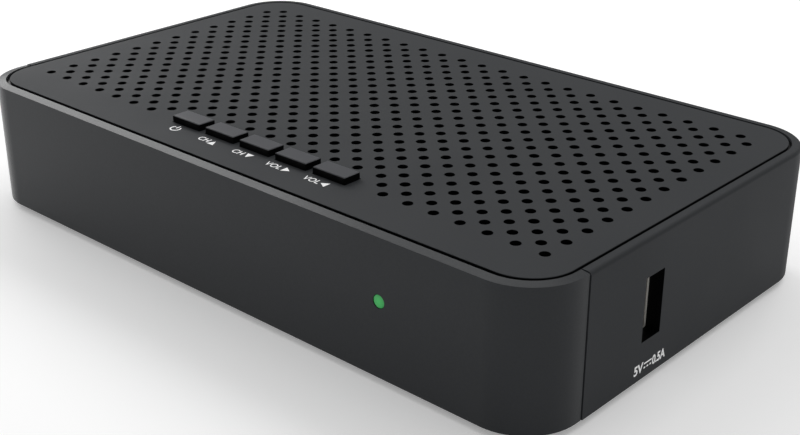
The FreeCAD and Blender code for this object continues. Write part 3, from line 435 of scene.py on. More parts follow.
# Filled epoxy looks dry and dark grey; tin has a soft pale sheen with brighter patches.
chip_epoxy = moulded("epoxy_chip_package", "#111112", "#18181a", roughness=0.6, specular=0.3, grain=0.3,
                     depth=0.003, cloud=8.0)
tinned = plated("tinned_steel_sheet", "#c9c8c4", "#b3b1ab", roughness=0.3)
fit(finished("processor_package", package(*span("processor")), chip_epoxy), "chip_black", "processor")
low, high = span("memory_chips")
near = package(low, Vector((high.x, low.y + MEMORY_LENGTH, high.z)))
far = package(Vector((low.x, high.y - MEMORY_LENGTH, low.z)), high)
fit(finished("memory_packages", together(near, far), chip_epoxy), "chip_black", "memory_chips")

low, high = span("storage_chip")
lead_width, lead_thick, lead_pitch = CHIP_LEAD
root, shoulder, knee, toe = LEAD_BENDS
reach = Vector((0, toe, 0))
fit(finished("storage_package", package(low + reach, high - reach), chip_epoxy), "chip_black", "storage_chip")
half_height = (high.z - low.z) / 2
lead = strip([(root, half_height), (shoulder, half_height), (knee, lead_thick / 2), (toe, lead_thick / 2)],
             lead_width, lead_thick)
back_lead = lead.copy()
bmesh.ops.rotate(lead, matrix=Matrix.Rotation(math.pi, 3, "Z"), verts=lead.verts)
mid_x = (low.x + high.x) / 2
row = (CHIP_LEADS - 1) * lead_pitch
leads = [in_rows(one, tinned, CHIP_LEADS, row, (mid_x, y, low.z))
         for one, y in ((lead, low.y + toe), (back_lead, high.y - toe))]
fit(finished("storage_leads", together(*leads), tinned), "tinned_steel")

# ---- heat sink, crystal, coils and capacitors ----
# The heat sink is a black anodised extrusion on the processor. The crystal sits in a drawn can with a rim;
# the coils are square blocks of ferrite; the capacitors are aluminium cans in black sleeves, beaded at the
# foot.
CAN_RIM = (0.5, 0.4)            # width and height of the crystal's rim
CAN_ROUND = 0.5
CAN_FLAT = 0.01                 # half of the flat that is left at the tip of each round end
CAPACITORS = ((46.0, 22.0, 8.0), (46.0, 11.0, 8.0), (36.0, 5.0, 6.3), (-66.0, -10.0, 6.3),
              (-60.0, -24.0, 6.3))      # x, y and diameter
CAPACITOR_HEIGHT = {8.0: 11.5, 6.3: 9.0}
CAPACITOR_SIDES = 48
SLEEVE_ROUND = 0.25
SLEEVE_FOOT = 0.3
SLEEVE_ROLL = (0.7, 0.2)        # width and thickness of the sleeve's edge, shrunk over the top
BEAD = (1.5, 0.4, 0.35)         # height of the bead above the foot, half its width, and its depth
TOP_DISC = (0.75, 0.3, 0.06)    # the metal top's inset, and its lower and upper face below the sleeve's edge
VENT_CROSS = (0.25, 0.12, 0.6)  # the pressed cross: width, depth, half length over the can's radius
CUTTER_CLEAR = 0.1              # how far a cutter stands out of what it cuts

# Black dye in the oxide: a dark metal with a dull, silky gloss.
anodised = plated("black_anodised_aluminium", "#2c2d2e", "#242526", roughness=0.42)
dressed("finned_sink", "heat_sink", anodised, "anodised_aluminium", edge=0.2)

low, high = span("crystal")
rim, rim_height = CAN_RIM
round_end = (high.y - low.y) / 2 - CAN_FLAT
can = [(0, round_end, low.z), (0, round_end, low.z + rim_height), (rim, round_end - rim, low.z + rim_height),
       (rim, round_end - rim, high.z - CAN_ROUND)]
for a in (math.pi / 6, math.pi / 3, math.pi / 2):
    inset = rim + CAN_ROUND * (1 - math.cos(a))
    can.append((inset, round_end - inset, high.z - CAN_ROUND * (1 - math.sin(a))))
fit(finished("crystal_can", layered(low, high, can, 12), tinned), "tinned_steel", "crystal")

# Sintered grains leave a dry, faintly pitted grey.
ferrite = moulded("sintered_ferrite", "#232325", "#303033", roughness=0.62, specular=0.4, grain=0.35,
                  depth=0.02, cloud=4.0)
dressed("coil_cores", "coils", ferrite, "ferrite", edge=0.15)

foot_z = span("capacitors")[0].z
bead_height, bead_half, bead_depth = BEAD
roll_width, roll_thick = SLEEVE_ROLL
disc_inset, disc_under, disc_sunk = TOP_DISC
cross_width, cross_depth, cross_share = VENT_CROSS
sleeves = []
tops = []
for x, y, across in CAPACITORS:
    place = Vector((x, y, 0))
    radius = across / 2
    top = foot_z + CAPACITOR_HEIGHT[across]
    bead_z = foot_z + bead_height
    outline = [(AXLE, foot_z), (radius - SLEEVE_FOOT, foot_z), (radius, foot_z + SLEEVE_FOOT),
               (radius, bead_z - bead_half), (radius - bead_depth, bead_z), (radius, bead_z + bead_half),
               (radius, top), (radius - roll_width, top), (radius - roll_width, top - roll_thick),
               (AXLE, top - roll_thick)]
    sleeves.append(turned(eased(outline, SLEEVE_ROUND), place, sides=CAPACITOR_SIDES))
    disc_r = radius - disc_inset
    disc = turned(eased([(AXLE, top - disc_under), (disc_r, top - disc_under), (disc_r, top - disc_sunk),
                         (AXLE, top - disc_sunk)], disc_sunk), place, sides=CAPACITOR_SIDES)
    arm = Vector((radius * cross_share, cross_width / 2, 0))
    for half in (arm, arm.yxz):
        layers = [(0, cross_width / 3, z) for z in (top - disc_sunk - cross_depth, top + CUTTER_CLEAR)]
        disc = carved(disc, layered(place - half, place + half, layers, 2))
    tops.append(disc)
# Shrunk vinyl is black and shiny; the bare top is pale, finely drawn metal.
sleeve_vinyl = moulded("black_shrunk_sleeve", "#0c0d14", "#11121b", roughness=0.3, grain=0.8, depth=0.003,
                       cloud=5.0)
can_aluminium = plated("bare_aluminium", "#d6d7d8", "#c3c4c6", roughness=0.34, brushed=0.2)
fit(finished("capacitor_sleeves", together(*sleeves), sleeve_vinyl), "capacitor_sleeve", "capacitors")
fit(finished("capacitor_tops", together(*tops), can_aluminium), "anodised_aluminium")

# ---- tuner and aerial socket ----
# The tuner sits under a folded can of tinned steel. The aerial socket is riveted to the can: a nickel-plated
# brass turning with a fine thread, and an ivory insulator in its bore with a small funnel for the wire.
TO_REAR = Matrix.Rotation(-math.pi / 2, 3, "X")      # turns +Z to +Y
THREAD = (4.75, 0.794, 0.37)    # crest radius, pitch of 32 turns to the inch, and depth, under half of it
THREAD_SIDES = 48
THREAD_ROOM = 7.2               # length of the part that is threaded
THREAD_PLAIN = (0.5, 1.2)       # how much of it is plain: before the first turn, and in all
RIDGE_PROUD = 0.03              # how far the ridge's side corners stand off the barrel
FLANGE_THICK = 1.5
NECK_R = 4.4
MOUTH_CHAMFER = 0.35
AERIAL_BORE = (3.2, 8.0)        # radius and depth
TURNED_EDGE = 0.12              # the radius that a lathe tool leaves
FUNNEL = (1.3, 0.5)             # radius and depth of the funnel in the insulator
WIRE_HOLE = (0.6, 4.0)          # radius of the hole under it, and where it ends above the bore's floor


def thread_ridge(tree, given, **laid):
    """A helical ridge of four-sided section round the Z axis, its crest outwards, laid in its place."""
    height = add(tree, "ShaderNodeMath", {0: given["Turns"], 1: given["Pitch"]}, operation="MULTIPLY")
    helix = add(tree, "GeometryNodeCurveSpiral", {
        "Resolution": THREAD_SIDES, "Rotations": given["Turns"], "Start Radius": given["Radius"],
        "End Radius": given["Radius"], "Height": height})
    level = add(tree, "GeometryNodeSetCurveNormal", {"Curve": helix}, mode="Z_UP")
    section = add(tree, "GeometryNodeCurvePrimitiveCircle", {"Resolution": 4, "Radius": given["Depth"]})
    ridge = add(tree, "GeometryNodeCurveToMesh", {"Curve": level, "Profile Curve": section,
                                                  "Fill Caps": True})
    return add(tree, "GeometryNodeTransform", {"Geometry": ridge, "Translation": given["Start"], **laid})


def lying(node):
    """A round node whose axis points to the rear: its axis, its radius, and where it starts and ends."""
    low, high = span(node)
    return Vector(((low.x + high.x) / 2, 0, (low.z + high.z) / 2)), (high.x - low.x) / 2, low.y, high.y


def lathed(outline, axis, ease=TURNED_EDGE, steps=3, **form):
    """A form turned about an axis that points to the rear, its corners eased."""
    return turned(eased(outline, ease, steps), axis, TO_REAR, **form)


threading, given = recipe("screw thread", Radius="Float", Pitch="Float", Depth="Float", Turns="Float",
                          Start="Vector", Turn="Vector")
ridge = thread_ridge(threading, given, Rotation=given["Turn"])
served(threading, given, add(threading, "GeometryNodeMeshBoolean", {"Mesh 2": (given["Geometry"], ridge)},
                             operation="UNION", solver="EXACT"))

dressed("tuner_screen", "tuner_can", tinned, "tinned_steel", edge=0.35)
# Nickel is a warm, bright mirror with a little blur.
nickel = plated("nickel_plated_brass", "#cfcac2", "#bdb7ad", roughness=0.2, brushed=0.25)
axis, flange_r, start, end = lying("aerial_socket")
crest_r, pitch, depth = THREAD
ridge_r = crest_r - depth
root_r = ridge_r - RIDGE_PROUD
bore_r, bore_depth = AERIAL_BORE
y_neck = start + FLANGE_THICK
y_thread = end - THREAD_ROOM
y_floor = end - bore_depth
barrel = lathed([(AXLE, start), (flange_r, start), (flange_r, y_neck), (NECK_R, y_neck), (NECK_R, y_thread),
                 (root_r, y_thread), (root_r, end - MOUTH_CHAMFER), (root_r - MOUTH_CHAMFER, end),
                 (bore_r, end), (bore_r, y_floor), (AXLE, y_floor)], axis)
plain_first, plain_in_all = THREAD_PLAIN
threaded = grown(barrel, threading, nickel, Radius=ridge_r, Pitch=pitch, Depth=depth,
                 Turns=(THREAD_ROOM - plain_in_all) / pitch, Start=(axis.x, y_thread + plain_first, axis.z),
                 Turn=(-math.pi / 2, 0.0, 0.0))
fit(finished("threaded_barrel", threaded, nickel), "nickel", "aerial_socket")

# Ivory nylon is pale and waxy.
ivory = moulded("ivory_nylon", "#d9d5c8", "#e4e0d4", roughness=0.45)
_, insulator_r, start, end = lying("aerial_insulator")
funnel_r, funnel_depth = FUNNEL
hole_r, hole_end = WIRE_HOLE
core = lathed([(AXLE, start), (insulator_r, start), (insulator_r, end), (funnel_r, end),
               (hole_r, end - funnel_depth), (hole_r, y_floor + hole_end), (AXLE, y_floor + hole_end)], axis)
fit(finished("barrel_insulator", core, ivory), "header_nylon", "aerial_insulator")

# ---- audio socket ----
# A phono socket: an orange plastic body, and a nickel-plated ring with a rolled end round its core. The
# ring's collar is caught between the body and the rear wall.
COLLAR = (4.35, 45.2)           # radius, and where it ends
RING_STEP = 0.2                 # from the collar down to the ring
RING_WALL = 0.5
RING_ROLL = 0.22
AUDIO_BLOCK_DEPTH = 9.4
BLOCK_EDGE = 0.25
CORE_CLEAR = 0.05
CORE_ROOT = 1                   # how far the core starts inside the block
CORE_ROUND = 0.15
AUDIO_HOLE = (1.65, 44.0)       # radius of the hole for the plug's pin, and where it ends
HOLE_FLARE = (0.3, 0.4)         # width and depth

axis, _, start, end = lying("audio_ring")
collar_r, collar_end = COLLAR
ring_r = collar_r - RING_STEP
bore_r = ring_r - RING_WALL
ring = lathed([(bore_r, start), (collar_r, start), (collar_r, collar_end), (ring_r, collar_end),
               (ring_r, end), (bore_r, end), (bore_r, start + RING_STEP)], axis, RING_ROLL, steps=4,
              tube=True)
fit(finished("plated_ring", ring, nickel), "nickel", "audio_ring")

# Bright orange with the soft gloss of a warm mould.
orange = moulded("orange_polypropylene", "#c2560f", "#cc6316", roughness=0.35, cloud=7.0)
low, high = span("audio_body")
block = rounded(layered(low, Vector((high.x, low.y + AUDIO_BLOCK_DEPTH, 0)),
                        [(0, BLOCK_EDGE, low.z), (0, BLOCK_EDGE, high.z)]), BLOCK_EDGE)
core_r = bore_r - CORE_CLEAR
hole_r, hole_end = AUDIO_HOLE
flare, flare_depth = HOLE_FLARE
core = lathed([(AXLE, start - CORE_ROOT), (core_r, start - CORE_ROOT), (core_r, high.y),
               (hole_r + flare, high.y), (hole_r, high.y - flare_depth), (hole_r, hole_end),
               (AXLE, hole_end)], axis, CORE_ROUND)
fit(finished("phono_body", carved(block, core, "UNION"), orange), "orange_plastic", "audio_body")

# ---- audio and video jack ----
# A 3.5 mm jack: one black moulding, its nose in the rear wall with a plain metal liner in the mouth.
JACK_BORE_R = 1.8
LINER_LENGTH = 1.0
LINER_LIP = (0.35, 0.05)        # width and thickness of the lip over the mouth
LINER_SHEET = 0.1
LINER_ROUND = 0.04
LINER_CLEAR = 0.01              # between the sheet and the bore

# Black nylon has a smooth, tight gloss.
jack_black = moulded("black_nylon", "#0e0e0f", "#151516", roughness=0.42, specular=0.4, grain=0.4)
dressed("jack_body", "av_jack", jack_black, "chip_black", edge=0.12)
axis, _, _, end = lying("av_jack")
lip, lip_thick = LINER_LIP
outer_r = JACK_BORE_R - LINER_CLEAR
inner_r = outer_r - LINER_SHEET
start = end - LINER_LENGTH
lip_r = outer_r + lip
liner = lathed([(inner_r, start), (outer_r, start), (outer_r, end - lip_thick), (lip_r, end - lip_thick),
                (lip_r, end), (inner_r, end), (inner_r, start + LINER_SHEET)], axis, LINER_ROUND, steps=2,
               tube=True)
fit(finished("jack_liner", liner, nickel), "nickel")

# ---- video socket ----
# A digital video socket: a folded shell of tinned steel with two sprung tabs, and a black insert whose thin
# tongue carries nineteen gilt contacts, ten above and nine below.
SHELL_EDGE = 0.15
TONGUE_REACH = 7.6
TONGUE_THICK = 1.0
TIP_PLAIN = 0.6                 # the contacts stop this far before the tongue's tip
TIP_DIP = 0.05                  # and their ends dip into it
CONTACT = (0.45, 0.12, 1.0)     # width, thickness, pitch
CONTACT_BEND = 0.2
CONTACT_ROWS = ((10, 1), (9, -1))       # how many, and on which side of the tongue

dressed("video_sheet_shell", "video_shell", tinned, "tinned_steel", edge=SHELL_EDGE)
dressed("video_insert", "video_tongue", jack_black, "chip_black", edge=0.08)
# Thin gold over nickel: small warm flashes.
gilt = plated("gilt_contacts", "#d8ac4c", "#c99b3d", roughness=0.22, brushed=0.2)
axis, _, _, end = lying("video_tongue")
contact_width, contact_thick, contact_pitch = CONTACT
y_tip = end - TIP_PLAIN
contacts = []
for count, side in CONTACT_ROWS:
    z = side * (TONGUE_THICK + contact_thick) / 2
    path = [(end - TONGUE_REACH, z), (y_tip - TIP_PLAIN, z), (y_tip, z - side * TIP_DIP)]
    wire = strip(eased(path, CONTACT_BEND, 2), contact_width, contact_thick)
    contacts.append(in_rows(wire, gilt, count, (count - 1) * contact_pitch, axis))
fit(finished("video_contacts", together(*contacts), gilt), "contact_gold")

# ---- power inlet ----
# A barrel inlet: a black moulded block with a round bore, a nickel-plated pin with a rounded, slotted tip,
# and a sprung contact low in the bore.
PIN_SLOT = (0.3, 3.0)           # width and length
PIN_ROUND = 0.7
INLET_SPRING = ((9.0, 3.1), (5.0, 2.5), (2.0, 3.1))    # behind the mouth, and below the axis
SPRING_STRIP = (1.6, 0.2)       # width and thickness
SPRING_BEND = 1.5

dressed("inlet_body", "dc_jack", jack_black, "chip_black", edge=0.2)
axis, pin_r, start, end = lying("dc_pin")
pin = lathed([(AXLE / 2, start), (pin_r, start), (pin_r, end), (AXLE / 2, end)], axis, PIN_ROUND, steps=6,
             sides=32)
slot_width, slot_length = PIN_SLOT
half = Vector((slot_width / 2, slot_length, 0))
tip = Vector((axis.x, end, 0))
layers = [(0, slot_width / 3, axis.z + side * 2 * pin_r) for side in (-1, 1)]
slit = layered(tip - half, tip + half, layers, 2)
fit(finished("inlet_pin", carved(pin, slit), nickel), "nickel", "dc_pin")
mouth_y = span("dc_jack")[1].y
spring = strip(eased([(mouth_y - back, axis.z - below) for back, below in INLET_SPRING], SPRING_BEND),
               *SPRING_STRIP)
bmesh.ops.translate(spring, vec=(axis.x, 0, 0), verts=spring.verts)
fit(finished("inlet_spring", spring, nickel), "nickel")

# ---- data port ----
# A type A port on its edge: a folded shell of dull tinned steel with two sprung fingers that hold the plug,
# a turned rim of matt tin before it that guides the plug in, a black insert and four gilt contacts.
PORT_SHEET = 0.3
FINGER = (1.8, 0.2, 6.0)        # width, thickness, length
FINGER_RISE = (0.45, 0.05)      # how high a finger stands at its middle and at its root
FINGER_START = 1.5              # behind the shell's front
FINGERS_APART = 6.0
MOUTH_RIM = (1.1, 0.1, 0.15)    # how far the rim stands before the shell, and how far it turns in and out
MOUTH_LAP = 0.2                 # how far it reaches back over the shell
MOUTH_TURN = 0.3                # length of the turned part
SHELL_CORNER = 0.6
TO_SIDE = Matrix(((0, 1, 0), (0, 0, 1), (1, 0, 0)))     # turns +Y to +X and +Z to +Y
STANDING = Matrix(((0, 0, 1), (1, 0, 0), (0, 1, 0)))    # turns +X to +Y, +Y to +Z and +Z to +X

# Dull tin is a blurred grey metal; matt tin is almost white and flat.
dull_tin = plated("dull_tinned_steel", "#e2e1dd", "#d2d0cb", roughness=0.6)
matt_tin = plated("matt_tinned_steel", "#efede8", "#e4e2dc", roughness=0.8)
dressed("port_shell", "usb_shell", dull_tin, "tinned_steel", edge=SHELL_EDGE / 2)
shell_low, shell_high = span("usb_shell")
low, high = span("usb_insert")
width, thick, length = FINGER
rise, root_rise = FINGER_RISE
start = shell_high.x - FINGER_START
wall_y = shell_low.y + PORT_SHEET + thick / 2
fingers = []
for side in (-1, 1):
    finger = strip(eased([(start, 0), (start - length / 2, rise), (start - length, root_rise)], SPRING_BEND),
                   width, thick)
    seat = Matrix.Translation((0, wall_y, (low.z + high.z + side * FINGERS_APART) / 2))
    bmesh.ops.transform(finger, matrix=seat @ TO_SIDE.to_4x4(), verts=finger.verts)
    fingers.append(finger)
fit(finished("port_fingers", together(*fingers), dull_tin), "tinned_steel")

reach, turned_in, turned_out = MOUTH_RIM
mouth = []
for x, inset in ((-MOUTH_LAP, PORT_SHEET), (-MOUTH_LAP, 0), (reach - MOUTH_TURN, 0), (reach, -turned_out),
                 (reach, PORT_SHEET + turned_in), (reach - MOUTH_TURN, PORT_SHEET)):
    corner_low = Vector((shell_low.y + inset, shell_low.z + inset, 0))
    corner_high = Vector((shell_high.y - inset, shell_high.z - inset, 0))
    loop = rounded_rectangle(corner_low, corner_high, SHELL_CORNER - inset, shell_high.x + x, 4)
    mouth.append([STANDING @ point for point in loop])
fit(finished("port_mouth", stacked(mouth, tube=True), matt_tin), "tinned_steel")
dressed("port_insert", "usb_insert", jack_black, "chip_black", edge=0.1)
dressed("port_contacts", "usb_contacts", gilt, "contact_gold", edge=0.06)

# ---- front light and remote-control eye ----
# A green light with a domed nose in a black holder, behind a green acrylic light pipe; and the infrared eye
# in dark epoxy with its lens towards the bezel.
PIPE_R = 1.4
PIPE_COLLAR = (2.1, -52.9, -51.9)       # radius, front and back
PIPE_DOME = (0.5, 0.12)         # width and depth of the round at the pipe's face
DOME_BEND = 0.3                 # share of that depth where the round begins
PIPE_ROUND = 0.15
GLOW = (0.3, 1.5)               # radii where the pipe is brightest and where it is darkest
LIGHT_GLOW = 0.35


def lit_acrylic(axis):
    """Green acrylic lit from behind: brightest in the middle of the pipe, with a clear gloss on top."""
    finish, tree, place = new_finish("green_acrylic_lit")
    shifted = add(tree, "ShaderNodeVectorMath", {0: place, 1: tuple(axis)}, operation="SUBTRACT")
    level = add(tree, "ShaderNodeVectorMath", {0: shifted, 1: (1, 0, 1)}, operation="MULTIPLY")
    off = add(tree, "ShaderNodeVectorMath", {0: level}, operation="LENGTH").outputs["Value"]
    fade = add(tree, "ShaderNodeMapRange", {"Value": off, "From Min": GLOW[0], "From Max": GLOW[1],
                                            "To Min": 0.0, "To Max": 1.0})
    tint = add(tree, "ShaderNodeMix", {"Factor": fade, "A": linear("#2ba64e"), "B": linear("#238a41")},
               data_type="RGBA").outputs["Result"]
    surface = add(tree, "ShaderNodeBsdfPrincipled", {
        "Base Color": tint, "Roughness": 0.12, "Emission Color": tint, "Emission Strength": LIGHT_GLOW})
    add(tree, "ShaderNodeOutputMaterial", {"Surface": surface})
    return finish


axis, _, start, end = lying("light_pipe")
acrylic = lit_acrylic(axis)
collar_r, collar_front, collar_back = PIPE_COLLAR
dome_width, dome_depth = PIPE_DOME
pipe = lathed([(AXLE, start), (PIPE_R - dome_width, start + dome_depth * DOME_BEND),
               (PIPE_R, start + dome_depth), (PIPE_R, collar_front), (collar_r, collar_front),
               (collar_r, collar_back), (PIPE_R, collar_back), (PIPE_R, end), (AXLE, end)], axis, PIPE_ROUND)
fit(finished("acrylic_pipe", pipe, acrylic), "green_light", "light_pipe")
covered(acrylic, "status_led")
dressed("light_holder", "led_holder", jack_black, "chip_black", edge=0.15)
# Epoxy that only infrared passes: it looks like wet black glass.
covered(moulded("infrared_black_epoxy", "#0b0709", "#120c0f", roughness=0.12, grain=1.0, depth=0.001,
                cloud=4.0), "remote_eye")

# ---- board screws ----
# Pan-head steel screws with a cross recess and a coarse thread for plastic, zinc plated. They hold the board
# to the tray's standoffs.
BOARD_SCREWS = ((-72.0, -34.0), (72.0, -34.0), (-33.0, 24.0), (72.0, 22.0))
BOARD_SCREW = (5.0, 1.6, 2.3)   # diameter and height of the head, diameter over the thread
SCREW_THREAD = (0.9, 0.11)      # pitch and depth of the coarse thread
SCREW_PLAIN = (1.0, 1.6)        # length without thread: at the tip, and in all
SCREW_TIP = (0.6, 0.8)          # the tip's radius over the root's, and its length
PAN_HEAD = ((0.5, 0.55), (0.3, 0.97))        # the head's corners, over its diameter and its height
HEAD_ROUND = 0.25
RECESS_SHARE = (0.62, 0.14, 0.55)    # length and width over the head's diameter, depth over its height

screwing, given = recipe("cross-recessed screws", Seats="Object", Radius="Float", Pitch="Float",
                         Depth="Float", Turns="Float", Start="Vector", Recess_top="Vector",
                         Recess_arm="Vector", Turn="Vector")
arm = add(screwing, "GeometryNodeMeshCube", {"Size": given["Recess arm"]})
arms = [add(screwing, "GeometryNodeTransform", {"Geometry": arm, "Translation": given["Recess top"],
                                                "Rotation": (0, 0, angle)}) for angle in (0, math.pi / 2)]
driven = add(screwing, "GeometryNodeMeshBoolean", {"Mesh 1": given["Geometry"], "Mesh 2": tuple(arms)},
             operation="DIFFERENCE", solver="EXACT")
whole = add(screwing, "GeometryNodeMeshBoolean", {"Mesh 2": (driven, thread_ridge(screwing, given))},
            operation="UNION", solver="EXACT")
facing = add(screwing, "GeometryNodeTransform", {"Geometry": whole, "Rotation": given["Turn"]})
points = add(screwing, "GeometryNodeObjectInfo", {"Object": given["Seats"]}).outputs["Geometry"]
served(screwing, given, add(screwing, "GeometryNodeInstanceOnPoints", {"Points": points, "Instance": facing}))


def screws(seats, size, length, finish, up=False):
    """Screws at their seats. A screw that points up is turned over."""
    head_d, head_height, thread_d = size
    pitch, depth = SCREW_THREAD
    root_r = thread_d / 2 - depth
    tip_share, tip_length = SCREW_TIP
    head = [(head_d * across, head_height * up_to) for across, up_to in PAN_HEAD]
    outline = [(AXLE / 2, -length), (root_r * tip_share, -length), (root_r, -length + tip_length),
               (root_r, 0), (head_d / 2, 0), *head, (AXLE, head_height)]
    blank = turned(eased(outline, HEAD_ROUND, 3), (0, 0, 0), sides=THREAD_SIDES)
    marks = bmesh.new()
    for seat in seats:
        marks.verts.new(seat)
    stand = as_object("seats", marks)
    plain_tip, plain_in_all = SCREW_PLAIN
    long_share, wide_share, deep_share = RECESS_SHARE
    made = grown(blank, screwing, finish, Seats=stand, Radius=root_r, Pitch=pitch, Depth=depth,
                 Turns=(length - plain_in_all) / pitch, Start=(0.0, 0.0, -length + plain_tip),
                 Recess_top=(0.0, 0.0, head_height), Turn=(math.pi if up else 0.0, 0.0, 0.0),
                 Recess_arm=(head_d * long_share, head_d * wide_share, 2 * head_height * deep_share))
    bpy.data.objects.remove(stand)
    return made


# Zinc is a cool, slightly cloudy grey metal.
zinc = plated("zinc_plated_steel", "#b9bab9", "#a5a6a8", roughness=0.3)
low, high = span("board_screws")
seat_z = high.z - BOARD_SCREW[1]
driven = screws([(x, y, seat_z) for x, y in BOARD_SCREWS], BOARD_SCREW, seat_z - low.z, zinc)
fit(finished("board_screws_driven", driven, zinc), "screw_steel", "board_screws")

# ---- front bezel ----
# The front wall and both front corners in one ABS moulding, with a rim that falls slightly outwards. It
# clips in front of the casing, and its front is smooth and bare.

# A finer mould than the casing's: the same dark grey with a satin sheen that follows the corners.
bezel_abs = moulded("abs_fine_satin", CASE_DARK, CASE_LIGHT, roughness=0.25, specular=0.15, grain=CASE_GRAIN,
                    depth=CASE_GRAIN_DEPTH, cloud=CASE_CLOUD)
dressed("bezel_moulding", "front_bezel", bezel_abs, "bezel_abs", edge=MOULD_EDGE)

# ---- rear casing ----
# Both sides and the back in one ABS moulding, with the slot for the data port in the right side, the holes
# for the sockets in the rear, and a ledge inside for the lid. The walls of the slot carry painted shade, near
# black.
# The faces of the slot's walls inside this space get painted shade.
SLOT_SHADE_SPACE = ((70.0, -23.5, 9.0), (84.9, -15.5, 24.0))      # corners of a space that holds the slot's walls


def painted_shade_between(piece, low, high):
    """Paints shade on the faces between two corners: they take the near-black painted-shade finish."""
    piece.data.materials.append(painted_shade_abs)
    for face in piece.data.polygons:
        if all(lo < c / MM < hi for lo, c, hi in zip(low, face.center, high)):
            face.material_index = 1
    return piece


# Painted shade for the slot's walls, the sides of the keys and the lid below its top: nearly black, with
# hardly a highlight.
painted_shade_abs = moulded("abs_painted_shade_black", "#050506", "#070708", roughness=0.35, specular=0.08,
                     grain=CASE_GRAIN, depth=0.001, cloud=CASE_CLOUD)
casing = finished("casing_moulding", softened("rear_casing", MOULD_EDGE), case_abs)
# Painted shade: the walls of the data port's slot take the near-black finish.
fit(painted_shade_between(casing, *SLOT_SHADE_SPACE), "casing_abs", "rear_casing")

# ---- washer and nut of the aerial socket ----
# A plain washer and a hexagon nut, nickel plated, draw the aerial socket against the rear wall. The nut's
# corners are turned off at both faces.
WASHER_BORE_R = 4.9
WASHER_SEAM = 0.05              # its outline ends this short of its start
NUT_ACROSS = 11.0
NUT_BORE_R = 4.45
NUT_BORE_CLEAR = 1              # how far the bore's cutter stands out of the nut
NUT_CHAMFER = 0.55
NUT_FACE_INSET = 0.1            # the round face is that much smaller than the flats
CONE_REACH = 1.5                # how far the chamfering cone goes past the flats

axis, washer_r, start, end = lying("aerial_washer")
washer = lathed([(WASHER_BORE_R, start), (washer_r, start), (washer_r, end), (WASHER_BORE_R, end),
                 (WASHER_BORE_R, start + WASHER_SEAM)], axis, tube=True)
fit(finished("plated_washer", washer, nickel), "nickel", "aerial_washer")
_, _, start, end = lying("aerial_nut")
corner_r = NUT_ACROSS / math.sqrt(3)
flats = stacked([[Vector((axis.x + corner_r * math.cos(a), y, axis.z - corner_r * math.sin(a)))
                  for a in (n * math.pi / 3 for n in range(6))] for y in (start, end)])
face_r = NUT_ACROSS / 2 - NUT_FACE_INSET
wide_r = NUT_ACROSS / 2 + CONE_REACH
fall = NUT_CHAMFER * CONE_REACH
cone = turned([(AXLE, start - CUTTER_CLEAR), (face_r, start - CUTTER_CLEAR), (wide_r, start + fall),
               (wide_r, end - fall), (face_r, end + CUTTER_CLEAR), (AXLE, end + CUTTER_CLEAR)], axis, TO_REAR)
bore = turned([(NUT_BORE_R, start - NUT_BORE_CLEAR), (NUT_BORE_R, end + NUT_BORE_CLEAR)], axis, TO_REAR)
fit(finished("hexagon_nut", carved(carved(flats, cone, "INTERSECT"), bore), nickel), "nickel", "aerial_nut")

# ---- case screws ----
# Four longer screws of the same kind, driven up through the pillars of the tray into the bosses of the bezel
# and the casing.
CASE_SCREW = (5.4, 1.8, 2.8)    # diameter and height of the head, diameter over the thread


def driven_up(name, node, size, deep):
    """Screws driven up at the corners of their node, or at its ends where it is one screw deep."""
    low, high = span(node)
    head_r = size[0] / 2
    seat_z = low.z + size[1]
    ys = (low.y + head_r, high.y - head_r) if deep > 1 else ((low.y + high.y) / 2,)
    seats = [(x, y, seat_z) for x in (low.x + head_r, high.x - head_r) for y in ys]
    fit(finished(name, screws(seats, size, high.z - seat_z, zinc, up=True), zinc), "screw_steel", node)


driven_up("case_screws_driven", "case_screws", CASE_SCREW, deep=2)

# ---- key switches, their screws, headers and cable ----
# Five tactile switches with black bodies on the small board, which two screws hold to the lid. A flat grey
# cable of eight wires joins its white header to the header of the main board.
KEY_SCREW = (4.2, 1.4, 1.9)     # diameter and height of the head, diameter over the thread
CABLE_WIRES = 8
CABLE_PITCH = 1.0
CABLE_BEND = 3.0
WIRE_R = 0.4

dressed("switch_bodies", "tact_switches", jack_black, "chip_black", edge=0.2)
driven_up("key_screws_driven", "key_screws", KEY_SCREW, deep=1)
# White nylon lets a little light in, so it looks milky and even.
nylon = moulded("white_nylon", "#e6e4dc", "#efede6", roughness=0.45)
dressed("header_shrouds", "cable_headers", nylon, "header_nylon", edge=0.25)

cabling, given = recipe("flat cable", Bend="Float", Wire_radius="Float", Wires="Int", Pitch="Vector")
route = add(cabling, "GeometryNodeMeshToCurve", {"Mesh": given["Geometry"]})
bent = add(cabling, "GeometryNodeFilletCurve", {"Curve": route, "Count": 8, "Radius": given["Bend"]},
           mode="POLY")
section = add(cabling, "GeometryNodeCurvePrimitiveCircle", {"Resolution": 10, "Radius": given["Wire radius"]})
wire = add(cabling, "GeometryNodeCurveToMesh", {"Curve": bent, "Profile Curve": section, "Fill Caps": True})
spread = add(cabling, "GeometryNodeMeshLine", {"Count": given["Wires"], "Offset": given["Pitch"]})
served(cabling, given, add(cabling, "GeometryNodeInstanceOnPoints", {"Points": spread, "Instance": wire}))

# Soft vinyl is grey with a greasy sheen along each wire.
vinyl = moulded("grey_vinyl_wire", "#6f7176", "#7a7c81", roughness=0.42, grain=0.5, depth=0.003)
low, high = span("key_cable")
first_x = low.x + (high.x - low.x - (CABLE_WIRES - 1) * CABLE_PITCH) / 2
level_z = high.z - WIRE_R
drop_y = high.y - WIRE_R
path = bmesh.new()
stops = [path.verts.new((first_x, y, z)) for y, z in ((low.y, level_z), (drop_y, level_z), (drop_y, low.z))]
for stop, after in zip(stops, stops[1:]):
    path.edges.new((stop, after))
cable = grown(path, cabling, vinyl, Bend=CABLE_BEND, Wire_radius=WIRE_R, Wires=CABLE_WIRES,
              Pitch=(CABLE_PITCH, 0.0, 0.0))
fit(finished("flat_cable", cable, vinyl), "cable_vinyl", "key_cable")

